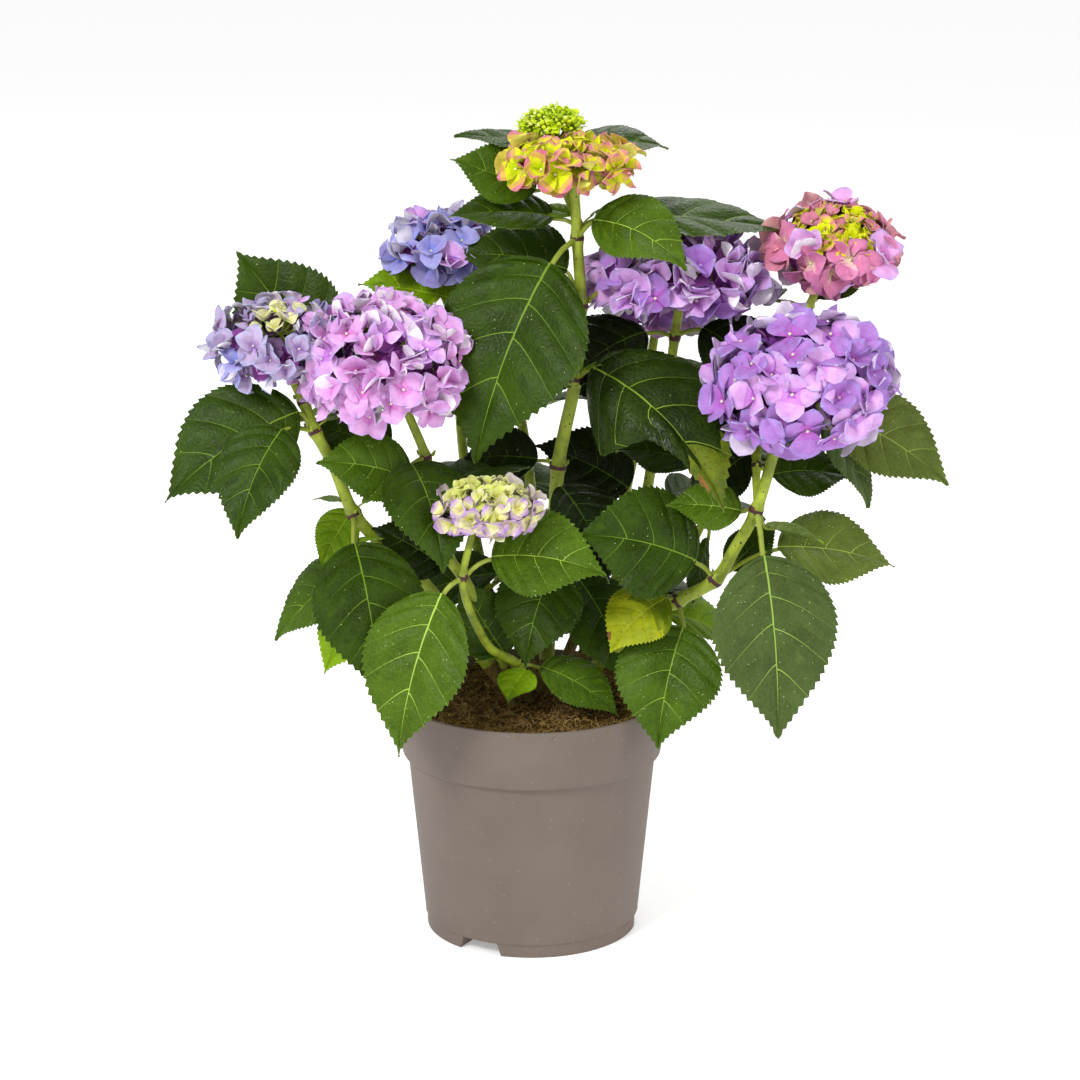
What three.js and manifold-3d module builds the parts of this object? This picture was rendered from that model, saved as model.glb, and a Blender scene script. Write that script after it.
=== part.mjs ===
// A bigleaf hydrangea in its round nursery pot: pot, soil, leaning canes, mophead flower
// heads and pairs of broad drooping leaves. Millimetres, +Z up. The origin is the middle of
// the pot's underside, -Y is the front, and bearings are degrees turned from +X towards +Y.
import * as THREE from 'three';
import { mergeVertices } from 'three/addons/utils/BufferGeometryUtils.js';
import Module from 'manifold-3d';

const wasm = await Module();
wasm.setup();

// ---- Driving dimensions ------------------------------------------------------------------
const GAP = 0.35;            // clearance between neighbouring solids
const POT_HEIGHT = 205.6;
const RIM_RADIUS = 115;      // outside of the rim at the top
const BAND_RADIUS = 108.5;   // outside of the rim band at its lower edge
const BAND_HEIGHT = 51.5;    // how far the rim band comes down
const BODY_RADIUS = 103.8;   // body just under the band
const FOOT_RADIUS = 90;      // body at the foot
const FOOT_HEIGHT = 11.3;    // foot ring, and the drain channels under the floor
const RING_RADIUS = 88.6;    // the foot ring stands in a little from the body
const WALL = 2.4;
const POT_SIDES = 30;
const CHANNEL_WIDTH = 36;
const CHANNEL_START = 26;    // the flat middle of the underside reaches this far
const FIRST_CHANNEL = -119.5;
const SOIL_EDGE = 194;       // height of the soil at the rim
const SOIL_CROWN = 200;      // and at the stems
const CANE_SIDES = 6;
const HEAD_SIDES = 11;
const LEAF_THICK = 4.5;      // a leaf pad at its midrib
const LEAF_FOLD = 14;        // degrees that each half of a blade rises from the midrib
const PETIOLE_RADIUS = 2.4;
const RING_CLEARANCE = 1.6;  // the ring that holds a joint's leaves, off its cane
const RING_THICK = 3;
const RING_HALF = 3.5;
const BLADE_STEPS = [0.12, 0.4, 0.78];

// ---- The canes: radius at foot and tip, and the joints from the soil to the flower head ----
const CANES = {
  centre: { radii: [6.5, 4], joints: [[10, 8, 190], [18, 0, 320], [22, -4, 400], [36, -9, 475],
    [40, -6, 535], [37, -2, 590], [34, -6, 640]] },
  top_fork: { radii: [3.4, 3], joints: [[40, 2, 598], [27, 14, 628], [20, 28, 662]] },
  left: { radii: [6, 4], joints: [[-8, -6, 190], [-80, -25, 295], [-120, -35, 340],
    [-145, -40, 370], [-160, -44, 410], [-175, -45, 440], [-184, -42, 464], [-192, -42, 482]] },
  left_inner: { radii: [5, 3.6], joints: [[-4, -10, 190], [-50, -30, 300], [-70, -35, 336],
    [-82, -36, 385], [-86, -33, 415], [-100, -34, 452]] },
  back_left: { radii: [5, 3.6], joints: [[6, 26, 190], [4, 42, 280], [0, 54, 360], [-15, 60, 450],
    [-45, 62, 508], [-62, 62, 548]] },
  violet: { radii: [5, 3.8], joints: [[26, 22, 190], [62, 32, 270], [92, 36, 350], [102, 35, 405],
    [112, 31, 455], [118, 28, 502], [121, 26, 525]] },
  right: { radii: [6, 4.4], joints: [[20, -6, 190], [90, -34, 275], [120, -42, 296],
    [150, -50, 316], [166, -55, 345], [182, -60, 378], [197, -62, 432]] },
  right_side: { radii: [3.4, 3.4], joints: [[183, -56, 386], [183, -35, 408], [188, -12, 445],
    [204, 4, 495], [225, 10, 528], [236, 10, 556]] },
  low_front: { radii: [4, 3], joints: [[0, -14, 190], [-12, -30, 236], [-34, -56, 260],
    [-50, -80, 300], [-55, -92, 331], [-47, -91, 368]] },
  right_inner: { radii: [4.4, 3], joints: [[36, 12, 190], [80, 16, 258], [124, 4, 318],
    [142, 0, 352], [152, 4, 384]] },
  rear_left: { radii: [5, 3.8], joints: [[-14, 20, 190], [-38, 72, 268], [-54, 106, 345],
    [-62, 128, 420], [-60, 140, 478]] },
  rear_right: { radii: [5, 3.8], joints: [[16, 30, 190], [50, 76, 262], [76, 108, 330],
    [94, 130, 410], [106, 142, 484]] },
};

// ---- The flower heads: centre, half width, half depth, height above and below the centre ----
const HEADS = {
  bloom_top_green: { centre: [16, 32, 674], size: [29, 26, 17, 12], colour: 0xa3c433 },
  bloom_top_young: { centre: [31, -10, 652], size: [55, 48, 27, 20], colour: 0xb6c763 },
  bloom_left_outer: { centre: [-206, -44, 512], size: [55, 50, 44, 36], colour: 0x8f86c6 },
  bloom_left_inner: { centre: [-120, -54, 496], size: [71, 62, 62, 58], colour: 0xb88ac4 },
  bloom_back_left: { centre: [-72, 62, 568], size: [49, 46, 33, 26], colour: 0x7a6fbe },
  bloom_violet: { centre: [120, 24, 553], size: [80, 64, 45, 42], colour: 0x9d83c9 },
  bloom_far_right: { centre: [246, 10, 580], size: [54, 50, 44, 34], colour: 0xc9709f },
  bloom_lavender: { centre: [215, -64, 481], size: [77, 68, 66, 60], colour: 0x9a7cca },
  bloom_low_front: { centre: [-36, -90, 388], size: [43, 38, 28, 22], colour: 0xd4d3a0 },
  bloom_rear_left: { centre: [-60, 148, 506], size: [54, 48, 40, 34], colour: 0x8c7fc8 },
  bloom_rear_right: { centre: [110, 148, 508], size: [52, 48, 38, 32], colour: 0xb07fc2 },
};

// ---- The foliage: each mass is the leaves of one joint, or of one joint and its side shoot ----
// Each leaf is [petiole length, bearing, rise], [blade bearing, rise, length, width, droop, roll].
const FOLIAGE = {
  leaves_top_back: { cane: 'top_fork', joint: 1, leaves: [
    [[44, 120, 44], [172, 10, 76, 56, 12, -4]],
    [[24, 170, -4], [-176, 22, 74, 58, 4, -46]],
    [[46, 70, 45], [8, 6, 76, 56, 24, 12]]] },
  leaves_top_side: { cane: 'centre', joint: 5, leaves: [
    [[36, -132, -26], [-140, -50, 174, 130, 26, -28]],
    [[24, -40, 44], [-26, 2, 92, 68, 50, 34]]] },
  leaves_top_wide: { cane: 'top_fork', joint: 0, leaves: [
    [[24, 172, 20], [-172, 12, 86, 60, 22, -24]],
    [[22, 12, 20], [4, 3, 160, 80, 20, 12]]] },
  leaves_centre_high: { cane: 'centre', joint: 4, leaves: [
    [[34, 120, 50], [172, 20, 92, 74, 30, -44]],
    [[32, 40, 20], [30, 10, 96, 72, 40, 16]]] },
  leaves_centre_folded: { cane: 'centre', joint: 3, leaves: [
    [[22, -43, 32], [-34, -14, 168, 112, 50, 26]],
    [[26, 140, 20], [150, 8, 110, 78, 46, -20]]] },
  leaves_centre_mid: { cane: 'centre', joint: 2, leaves: [
    [[19, -80, -50], [-44, -33, 92, 70, 40, 10]],
    [[20, 150, 10], [174, 8, 66, 52, 22, -50]]] },
  leaves_centre_low: { cane: 'centre', joint: 1, leaves: [
    [[24, -85, 5], [-126, -42, 92, 74, 40, -18]],
    [[26, 0, -40], [-38, -42, 104, 78, 30, 14]]] },
  leaves_left_tip: { cane: 'left', joint: 5, leaves: [
    [[22, -158, 52], [-166, -17, 132, 96, 30, -48]],
    [[34, -138, 12], [-126, -32, 100, 72, 44, -14]]] },
  leaves_left_top: { cane: 'left', joint: 6, leaves: [
    [[44, 76, 30], [161, 58, 114, 90, 12, -62]],
    [[34, 40, 20], [58, 14, 84, 62, 40, 0]]] },
  leaves_left_hanging: { cane: 'left', joint: 3, leaves: [
    [[30, -86, -40], [-62, -55, 128, 96, 30, 6]],
    [[14, 100, -10], [-156, -52, 52, 42, 12, -36]]] },
  leaves_left_under: { cane: 'left', joint: 2, leaves: [
    [[40, 144, -36], [168, -32, 98, 58, 25, -46]],
    [[46, 120, -70], [-164, -46, 82, 58, 20, -40]]] },
  leaves_inner_front: { cane: 'left_inner', joint: 4, leaves: [
    [[22, -147, -44], [-165, 26, 80, 60, 26, -56]],
    [[18, -128, -8], [-66, -18, 104, 80, 62, 0]]] },
  leaves_inner_back: { cane: 'left_inner', joint: 3, leaves: [
    [[50, 156, 40], [168, 26, 74, 64, 24, -46]],
    [[30, 30, 20], [40, 12, 84, 60, 40, 0]]] },
  leaves_inner_low: { cane: 'left_inner', joint: 2, leaves: [
    [[14, -100, -60], [-174, 42, 70, 56, 22, -60]],
    [[30, 80, 10], [110, 6, 100, 72, 46, 0]]] },
  leaves_front_low: { cane: 'low_front', joint: 4, leaves: [
    [[22, -154, -32], [-138, -57, 138, 92, 26, -22]],
    [[28, 14, 32], [-10, 10, 96, 82, 34, 40]]] },
  leaves_front_foot: { cane: 'low_front', joint: 1, leaves: [
    [[16, -146, 46], [173, 54, 74, 58, -10, -60]],
    [[23, -31, 7], [-17, -12, 78, 50, 34, 28]],
    [[14, -60, 0], [-120, -16, 36, 34, 40, -8]]] },
  leaves_back_left_top: { cane: 'back_left', joint: 4, leaves: [
    [[25, -162, 46], [-176, 18, 84, 62, 16, -46]],
    [[30, 30, 30], [40, 10, 96, 72, 40, 10]]] },
  leaves_back_left_mid: { cane: 'back_left', joint: 3, leaves: [
    [[30, 150, 20], [160, 0, 104, 76, 46, -10]],
    [[30, 60, 20], [76, 4, 104, 76, 46, 0]]] },
  leaves_back_left_low: { cane: 'back_left', joint: 1, leaves: [
    [[36, 170, 20], [178, -4, 104, 74, 40, -20]],
    [[30, 100, 10], [96, -6, 100, 74, 44, 0]]] },
  leaves_violet_under: { cane: 'violet', joint: 5, leaves: [
    [[25, -14, 19], [-30, -18, 96, 74, 40, 26]],
    [[26, -166, 11], [-156, -10, 90, 72, 40, -30]]] },
  leaves_violet_mid: { cane: 'violet', joint: 4, leaves: [
    [[30, 60, 20], [70, 6, 110, 82, 46, 0]],
    [[30, 174, 10], [-178, 24, 70, 52, 30, -50]]] },
  leaves_violet_low: { cane: 'violet', joint: 2, leaves: [
    [[24, -168, 62], [-176, 38, 88, 68, 24, -62]],
    [[34, 40, 10], [36, 2, 112, 84, 44, 10]]] },
  leaves_right_low: { cane: 'right', joint: 2, leaves: [
    [[24, -74, -52], [-118, -45, 104, 88, 38, -14]],
    [[13, -140, 20], [-150, -14, 68, 58, 44, -34]]] },
  leaves_right_mid: { cane: 'right', joint: 3, leaves: [
    [[26, -153, 46], [-172, 28, 104, 94, 28, -62]],
    [[58, 12, 25], [4, 2, 100, 74, 26, 36]],
    [[16, 40, 19], [24, 42, 58, 44, 10, 24]]] },
  leaves_right_high: { cane: 'right', joint: 5, leaves: [
    [[42, -80, -47], [-66, -66, 150, 106, 26, 6]],
    [[14, 150, -10], [-176, 14, 62, 44, 18, -50]],
    [[22, 54, -50], [-14, -6, 50, 34, 14, -34]]] },
  leaves_side_low: { cane: 'right_side', joint: 1, leaves: [
    [[14, 120, 40], [-168, -30, 66, 54, 28, -44]],
    [[20, 40, -30], [10, 10, 70, 54, 30, 40]]] },
  leaves_side_tips: { cane: 'right_side', joint: 3, leaves: [
    [[70, 2, -50], [-9, -17, 112, 76, 28, 44]],
    [[66, -16, -58], [-12, -46, 84, 54, 30, 22]]] },
  leaves_side_top: { cane: 'right_side', joint: 4, leaves: [
    [[26, 70, 10], [40, 40, 62, 48, 14, 30]],
    [[30, 140, 10], [130, 6, 84, 62, 40, 0]]] },
  leaves_right_tuft: { cane: 'right_inner', joint: 4, leaves: [
    [[20, 30, 40], [24, 24, 76, 56, 30, 20]],
    [[22, 160, 40], [166, 20, 70, 52, 30, -30]],
    [[46, -120, -74], [-121, -58, 60, 40, 20, 40]]] },
  leaves_right_under: { cane: 'right_inner', joint: 1, leaves: [
    [[40, 70, 20], [64, 4, 106, 78, 46, 0]],
    [[30, 10, 14], [14, -8, 84, 62, 40, 20]]] },
  leaves_rear_left_low: { cane: 'rear_left', joint: 1, leaves: [
    [[36, 170, 10], [166, -4, 118, 86, 48, -12]],
    [[36, 70, 10], [66, -4, 118, 86, 48, 0]]] },
  leaves_rear_left_mid: { cane: 'rear_left', joint: 2, leaves: [
    [[36, 120, 14], [124, 4, 124, 92, 52, 0]],
    [[34, 8, 14], [20, 4, 104, 78, 46, 10]]] },
  leaves_rear_left_top: { cane: 'rear_left', joint: 3, leaves: [
    [[34, 176, 16], [172, 8, 112, 82, 50, -14]],
    [[34, 80, 16], [80, 6, 120, 88, 50, 0]]] },
  leaves_rear_right_low: { cane: 'rear_right', joint: 1, leaves: [
    [[36, 20, 10], [26, -4, 120, 88, 48, 8]],
    [[36, 110, 10], [112, -4, 112, 82, 48, 0]]] },
  leaves_rear_right_top: { cane: 'rear_right', joint: 3, leaves: [
    [[34, 60, 16], [60, 6, 120, 88, 50, 0]],
    [[34, 140, 14], [150, 4, 100, 76, 46, 0]]] },
};

// ---- Colours -----------------------------------------------------------------------------
const POT_COLOUR = 0x7d736c;
const SOIL_COLOUR = 0x3a2a20;
const CANE_COLOUR = 0x8a9a3c;
const LEAF_COLOUR = 0x2e5522;

// ---- Closed shapes -----------------------------------------------------------------------
const radians = THREE.MathUtils.degToRad;
const wave = (a, b, seed) => Math.sin(2.1 * a + seed) * Math.cos(1.7 * b - 2 * seed);

function solidOf(geometry) {
  const bare = new THREE.BufferGeometry();
  bare.setAttribute('position', geometry.getAttribute('position'));
  bare.setIndex(geometry.getIndex());
  const merged = mergeVertices(bare);
  const index = merged.getIndex().array;
  const triangles = [];
  for (let i = 0; i < index.length; i += 3) {
    const [a, b, c] = [index[i], index[i + 1], index[i + 2]];
    if (a !== b && b !== c && c !== a) triangles.push(a, b, c);
  }
  const mesh = new wasm.Mesh({
    numProp: 3,
    vertProperties: Float32Array.from(merged.getAttribute('position').array),
    triVerts: Uint32Array.from(triangles),
  });
  return new wasm.Manifold(mesh);
}

// A closed skin over rings of equal count, each end drawn to its own point.
function skin(start, rings, end) {
  const count = rings[0].length;
  const points = [start, ...rings.flat(), end];
  const last = points.length - 1;
  const at = (ring, i) => 1 + ring * count + (i % count);
  const index = [];
  for (let i = 0; i < count; i += 1) {
    index.push(0, at(0, i + 1), at(0, i));
    index.push(last, at(rings.length - 1, i), at(rings.length - 1, i + 1));
    for (let r = 0; r + 1 < rings.length; r += 1) {
      index.push(at(r, i), at(r, i + 1), at(r + 1, i + 1));
      index.push(at(r, i), at(r + 1, i + 1), at(r + 1, i));
    }
  }
  const geometry = new THREE.BufferGeometry();
  const flat = points.flatMap((p) => p.toArray());
  geometry.setAttribute('position', new THREE.Float32BufferAttribute(flat, 3));
  geometry.setIndex(index);
  return solidOf(geometry);
}

const latheGeometry = (profile, segments) => {
  const points = profile.map(([radius, z]) => new THREE.Vector2(radius, z));
  return new THREE.LatheGeometry(points, segments).rotateX(Math.PI / 2);
};

const heading = (bearing, rise) => new THREE.Vector3(
  Math.cos(radians(bearing)) * Math.cos(radians(rise)),
  Math.sin(radians(bearing)) * Math.cos(radians(rise)),
  Math.sin(radians(rise)),
);

// A round limb through a list of points, its radius running evenly from foot to tip.
function limb(points, footRadius, tipRadius, sides) {
  const along = points.map((p, i) => {
    const before = points[Math.max(i - 1, 0)];
    const after = points[Math.min(i + 1, points.length - 1)];
    return after.clone().sub(before).normalize();
  });
  const rings = points.map((p, i) => {
    const radius = THREE.MathUtils.lerp(footRadius, tipRadius, i / (points.length - 1));
    const side = new THREE.Vector3(0.05, 1, 0).cross(along[i]).normalize();
    const up = along[i].clone().cross(side);
    return Array.from({ length: sides }, (_, k) => {
      const angle = (k / sides) * 2 * Math.PI;
      return p.clone()
        .addScaledVector(side, radius * Math.cos(angle))
        .addScaledVector(up, radius * Math.sin(angle));
    });
  });
  return skin(points[0], rings, points[points.length - 1]);
}

const jointAt = (cane, joint) => new THREE.Vector3(...CANES[cane].joints[joint]);

function caneRadius({ radii, joints }, joint) {
  return THREE.MathUtils.lerp(radii[0], radii[1], joint / (joints.length - 1));
}

function caneSolid(cane, grow) {
  const joints = cane.joints.map((p) => new THREE.Vector3(...p));
  return limb(joints, cane.radii[0] + grow, cane.radii[1] + grow, CANE_SIDES);
}

// A flower head: a dome with a flatter underside, and low swells where the florets crowd up.
function headSolid({ centre, size }, grow) {
  const [wide, deep, above, below] = size.map((s) => s + grow);
  const middle = new THREE.Vector3(...centre);
  const seed = centre[0] * 0.05 + centre[2] * 0.01;
  const rings = [-54, -20, 16, 52].map((latitude, row) => (
    Array.from({ length: HEAD_SIDES }, (_, k) => {
      const around = (k / HEAD_SIDES) * 2 * Math.PI;
      const swell = 1 + 0.06 * wave(1.6 * around, 3 * row, seed);
      const reach = Math.cos(radians(latitude)) ** 0.8 * swell;
      const height = Math.sin(radians(latitude)) * swell * (latitude > 0 ? above : below);
      const out = [wide * reach * Math.cos(around), deep * reach * Math.sin(around), height];
      return middle.clone().add(new THREE.Vector3(...out));
    })
  ));
  const bottom = middle.clone().setZ(middle.z - below * 0.92);
  const top = middle.clone().setZ(middle.z + above * 0.98);
  return skin(bottom, rings, top);
}

// The half width of a blade, as a share of its greatest, at a share t of its length.
const bladeShape = (t) => Math.sin(Math.PI * t ** 0.75) ** (0.75 + 0.7 * t);

// A leaf in one skin: a square petiole from its start on the collar, then the blade. The midrib
// is an arc that droops, and each half of the blade rises from it to a thin margin.
function leafSolid(start, base, [bearing, rise, length, width, droop, roll], grow) {
  const left = heading(bearing + 90, 0);
  const section = (middle, pitch, points) => {
    const ahead = heading(bearing, pitch);
    const across = left.clone().applyAxisAngle(ahead, radians(roll));
    const normal = heading(bearing, pitch + 90).applyAxisAngle(ahead, radians(roll));
    return points.map(([sideways, up]) => (
      middle.clone().addScaledVector(across, sideways).addScaledVector(normal, up)));
  };
  const midrib = (t) => {
    const bend = radians(droop) * t;
    const share = Math.abs(bend) > 0.01 ? Math.sin(bend / 2) / (bend / 2) : 1;
    return base.clone().addScaledVector(heading(bearing, rise - (droop * t) / 2), length * t * share);
  };
  const stalk = PETIOLE_RADIUS + grow;
  const stalkSection = [[stalk, 0], [0, stalk], [-stalk, 0], [0, -stalk]];
  const thick = LEAF_THICK / 2 + grow;
  const rings = [section(start, rise, stalkSection), section(base, rise, stalkSection)];
  for (const t of BLADE_STEPS) {
    const half = bladeShape(t) * width / 2 + 2 * grow;
    const lift = Math.tan(radians(LEAF_FOLD)) * half;
    rings.push(section(midrib(t), rise - droop * t, [[half, lift], [0, thick], [-half, lift], [0, -thick]]));
  }
  return skin(start, rings, midrib(1 + grow / 50));
}

// The leaves of one joint, held together by a loose ring that clasps the cane there.
function foliageSolid({ cane, joint, leaves }, grow) {
  const centre = jointAt(cane, joint);
  const last = CANES[cane].joints.length - 1;
  const before = jointAt(cane, Math.max(joint - 1, 0));
  const along = jointAt(cane, Math.min(joint + 1, last)).sub(before).normalize();
  const inside = caneRadius(CANES[cane], joint) + RING_CLEARANCE;
  const outside = inside + RING_THICK;
  const ring = [[inside, -RING_HALF], [outside, -RING_HALF], [outside, RING_HALF], [inside, RING_HALF]];
  const turn = new THREE.Quaternion().setFromUnitVectors(new THREE.Vector3(0, 0, 1), along);
  const collar = latheGeometry([...ring, ring[0]], CANE_SIDES).applyQuaternion(turn).translate(...centre);
  return leaves.reduce((whole, [[reach, bearing, rise], blade]) => {
    const outward = heading(bearing, rise);
    const base = centre.clone().addScaledVector(outward, reach);
    const across = outward.projectOnPlane(along).normalize();
    const start = centre.clone().addScaledVector(across, (inside + outside) / 2);
    return whole.add(leafSolid(start, base, blade, grow));
  }, solidOf(collar));
}

// ---- Pot and soil ------------------------------------------------------------------------
const BAND_FOOT = POT_HEIGHT - BAND_HEIGHT;
const channelAngles = [0, 120, 240].map((turn) => radians(FIRST_CHANNEL + turn));

function channels(extra) {
  const length = RIM_RADIUS - CHANNEL_START;
  const height = FOOT_HEIGHT + extra;
  const shape = new THREE.Shape();
  const half = CHANNEL_WIDTH / 2 + extra;
  shape.moveTo(-half - 2, -1).lineTo(half + 2, -1).lineTo(half - 2, height).lineTo(-half + 2, height);
  return channelAngles.map((angle) => {
    const geometry = new THREE.ExtrudeGeometry(shape, { depth: length + extra, bevelEnabled: false });
    geometry.rotateX(Math.PI / 2).rotateZ(Math.PI / 2);
    geometry.translate(CHANNEL_START - extra, 0, 0);
    return solidOf(geometry.rotateZ(angle));
  });
}

// The room inside the pot, drawn in by `inset` all round and ending at the given heights.
function potRoom(inset, edge, crown) {
  const bottom = WALL + inset;
  const slope = (BODY_RADIUS - FOOT_RADIUS) / (BAND_FOOT - FOOT_HEIGHT);
  const wall = WALL + inset;
  const inside = (z) => FOOT_RADIUS + slope * (z - FOOT_HEIGHT) - wall;
  const step = [BAND_RADIUS - wall, BAND_FOOT + WALL + 2];
  const edgeRadius = THREE.MathUtils.mapLinear(edge, BAND_FOOT, POT_HEIGHT, BAND_RADIUS, RIM_RADIUS) - wall;
  const profile = [[0, bottom], [inside(FOOT_HEIGHT), bottom], [inside(BAND_FOOT), BAND_FOOT], step,
    [edgeRadius, edge], [0, crown]];
  const whole = solidOf(latheGeometry(profile, POT_SIDES));
  return channels(WALL + inset).reduce((room, channel) => room.subtract(channel), whole);
}

function potSolid() {
  const outside = [[0, 0], [RING_RADIUS, 0], [RING_RADIUS, FOOT_HEIGHT - 1], [FOOT_RADIUS, FOOT_HEIGHT],
    [BODY_RADIUS, BAND_FOOT], [BAND_RADIUS - 1.5, BAND_FOOT], [BAND_RADIUS, BAND_FOOT + 1.5],
    [RIM_RADIUS, POT_HEIGHT - 1.5], [RIM_RADIUS - 0.8, POT_HEIGHT], [0, POT_HEIGHT]];
  const room = potRoom(0, POT_HEIGHT + 1, POT_HEIGHT + 1);
  const cut = [room, ...channels(0)];
  return cut.reduce((pot, tool) => pot.subtract(tool), solidOf(latheGeometry(outside, POT_SIDES)));
}

// ---- Assembly ----------------------------------------------------------------------------
const plant = new THREE.Group();
const placed = [];

const overlaps = (a, b) => a.min.every((low, i) => low <= b.max[i] && b.min[i] <= a.max[i]);

// Adds one solid, cut back to keep clear of all that stand already. `keepOut` is its grown twin.
function place(name, body, keepOut, color, roughness) {
  const reach = body.boundingBox();
  const near = placed.filter((other) => overlaps(other.boundingBox(), reach));
  const cleared = near.reduce((rest, other) => rest.subtract(other), body);
  const [largest] = cleared.decompose().sort((a, b) => b.volume() - a.volume());
  placed.push(keepOut);
  const { vertProperties, triVerts } = largest.getMesh();
  const geometry = new THREE.BufferGeometry();
  geometry.setAttribute('position', new THREE.BufferAttribute(Float32Array.from(vertProperties), 3));
  geometry.setIndex(Array.from(triVerts));
  geometry.computeVertexNormals();
  const mesh = new THREE.Mesh(geometry, new THREE.MeshStandardMaterial({ color, roughness, metalness: 0 }));
  mesh.name = name;
  plant.add(mesh);
}

const pot = potSolid();
place('pot', pot, pot, POT_COLOUR, 0.6);
const soil = potRoom(GAP, SOIL_EDGE, SOIL_CROWN);
place('soil', soil, potRoom(0, SOIL_EDGE + GAP, SOIL_CROWN + GAP), SOIL_COLOUR, 0.95);
for (const [name, head] of Object.entries(HEADS)) {
  place(name, headSolid(head, 0), headSolid(head, GAP), head.colour, 0.8);
}
for (const [name, cane] of Object.entries(CANES)) {
  place(`cane_${name}`, caneSolid(cane, 0), caneSolid(cane, GAP), CANE_COLOUR, 0.6);
}
for (const [name, mass] of Object.entries(FOLIAGE)) {
  place(name, foliageSolid(mass, 0), foliageSolid(mass, GAP), LEAF_COLOUR, 0.55);
}

export default plant;
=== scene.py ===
import math

import bpy
import numpy as np
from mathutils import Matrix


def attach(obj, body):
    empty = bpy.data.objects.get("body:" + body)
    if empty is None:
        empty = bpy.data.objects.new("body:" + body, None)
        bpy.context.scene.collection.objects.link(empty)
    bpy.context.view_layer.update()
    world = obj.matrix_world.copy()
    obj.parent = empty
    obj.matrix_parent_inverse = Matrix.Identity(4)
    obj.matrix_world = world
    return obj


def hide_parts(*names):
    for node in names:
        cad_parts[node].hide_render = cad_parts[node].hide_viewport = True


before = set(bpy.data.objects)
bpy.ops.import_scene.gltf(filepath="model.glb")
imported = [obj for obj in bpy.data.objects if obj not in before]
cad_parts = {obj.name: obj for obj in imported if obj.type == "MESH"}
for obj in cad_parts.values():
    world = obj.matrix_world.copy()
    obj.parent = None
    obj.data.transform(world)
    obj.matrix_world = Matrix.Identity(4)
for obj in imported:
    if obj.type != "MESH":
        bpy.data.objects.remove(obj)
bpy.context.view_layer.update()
dice = np.random.default_rng(31)
MM = 0.001


# ---- The pot --------------------------------------------------------------------------------
# A round nursery pot, injection moulded in taupe polypropylene. A deep plain band stiffens the
# rim, the wall tapers to a foot ring, and three drain channels under the floor end in notches.
POT_HEIGHT = 205.6
RIM_RADIUS = 115.0
BAND_FOOT = 154.1
FLOOR_HEIGHT = 14.0
FOOT_HEIGHT = 11.3
AXIS_RADIUS = 0.1
CHANNEL_FOOT_HALF = 20.0
CHANNEL_TOP_HALF = 16.0
CHANNEL_START = 26.0
CHANNEL_BEARINGS = (-119.5, 0.5, 120.5)
POT_TURNS = 180
NET_SLANT = (0.62, 0.47, 0.35)
# radius, height and corner rounding, up the outside, over the lip and down to the floor
POT_OUTLINE = (
    (88.6, 0.0, 1.0), (88.6, 10.2, 0.5), (90.0, 11.8, 0.8), (103.8, BAND_FOOT - 2.2, 1.2),
    (105.0, BAND_FOOT, 0.6), (108.4, BAND_FOOT, 1.4), (RIM_RADIUS, POT_HEIGHT, 1.6),
    (112.2, POT_HEIGHT, 1.2), (105.9, BAND_FOOT + 3, 2.0), (101.2, BAND_FOOT - 2, 2.0),
    (87.0, FLOOR_HEIGHT, 3.0),
)


def linear(colour):
    """An sRGB colour written as '#rrggbb', in the linear values that shaders take."""
    parts = [int(colour[i:i + 2], 16) / 255 for i in (1, 3, 5)]
    return (*[p / 12.92 if p <= 0.04045 else ((p + 0.055) / 1.055) ** 2.4 for p in parts], 1.0)


class Pile:
    """Many small closed shapes, gathered into one joined mesh."""

    def __init__(self):
        self.points = []
        self.faces = []
        self.slots = []
        self.total = 0

    def add(self, points, faces, slots):
        self.points.append(points)
        self.faces += (np.asarray(faces) + self.total).tolist()
        self.slots.append(np.broadcast_to(slots, len(faces)))
        self.total += len(points)

    def piece(self, name, materials, slot, stands_for=(), crease=50):
        mesh = bpy.data.meshes.new(name)
        mesh.from_pydata((np.concatenate(self.points) * MM).tolist(), [], self.faces)
        for material in materials:
            mesh.materials.append(material)
        mesh.polygons.foreach_set("material_index", np.concatenate(self.slots).astype(np.int32))
        mesh.shade_smooth()
        mesh.set_sharp_from_angle(angle=math.radians(crease))
        made = bpy.data.objects.new(name, mesh)
        bpy.context.collection.objects.link(made)
        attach(made, "root")
        if stands_for:
            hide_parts(*stands_for)
        return made


def soften(outline, steps=4):
    """Rounds each corner of an open outline by its own radius."""
    corners = np.array([c[:2] for c in outline])
    done = [corners[0]]
    reaches = [c[2] for c in outline[1:-1]]
    for before, corner, after, reach in zip(corners, corners[1:], corners[2:], reaches):
        back, ahead = before - corner, after - corner
        start = corner + back * reach / np.linalg.norm(back)
        end = corner + ahead * reach / np.linalg.norm(ahead)
        for share in np.linspace(0, 1, steps):
            done.append((1 - share) ** 2 * start + 2 * share * (1 - share) * corner + share ** 2 * end)
    return np.array([*done, corners[-1]])


def ring_quads(rings, around):
    """The faces between rings of points that follow one another."""
    low, step = np.arange(rings - 1)[:, None] * around, np.arange(around)[None]
    high, after = low + around, (step + 1) % around
    return np.stack([low + step, low + after, high + after, high + step], 2).reshape(-1, 4)


def turned(outline, turns):
    """The points, sides and two end caps of a closed lathe from an outline of radii and heights."""
    angles = np.arange(turns) * 2 * math.pi / turns
    rings = [np.stack([r * np.cos(angles), r * np.sin(angles), np.full(turns, z)], 1) for r, z in outline]
    last = (len(outline) - 1) * turns
    caps = [[*range(turns)][::-1], [*range(last, last + turns)]]
    return np.concatenate(rings), ring_quads(len(outline), turns), caps


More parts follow.
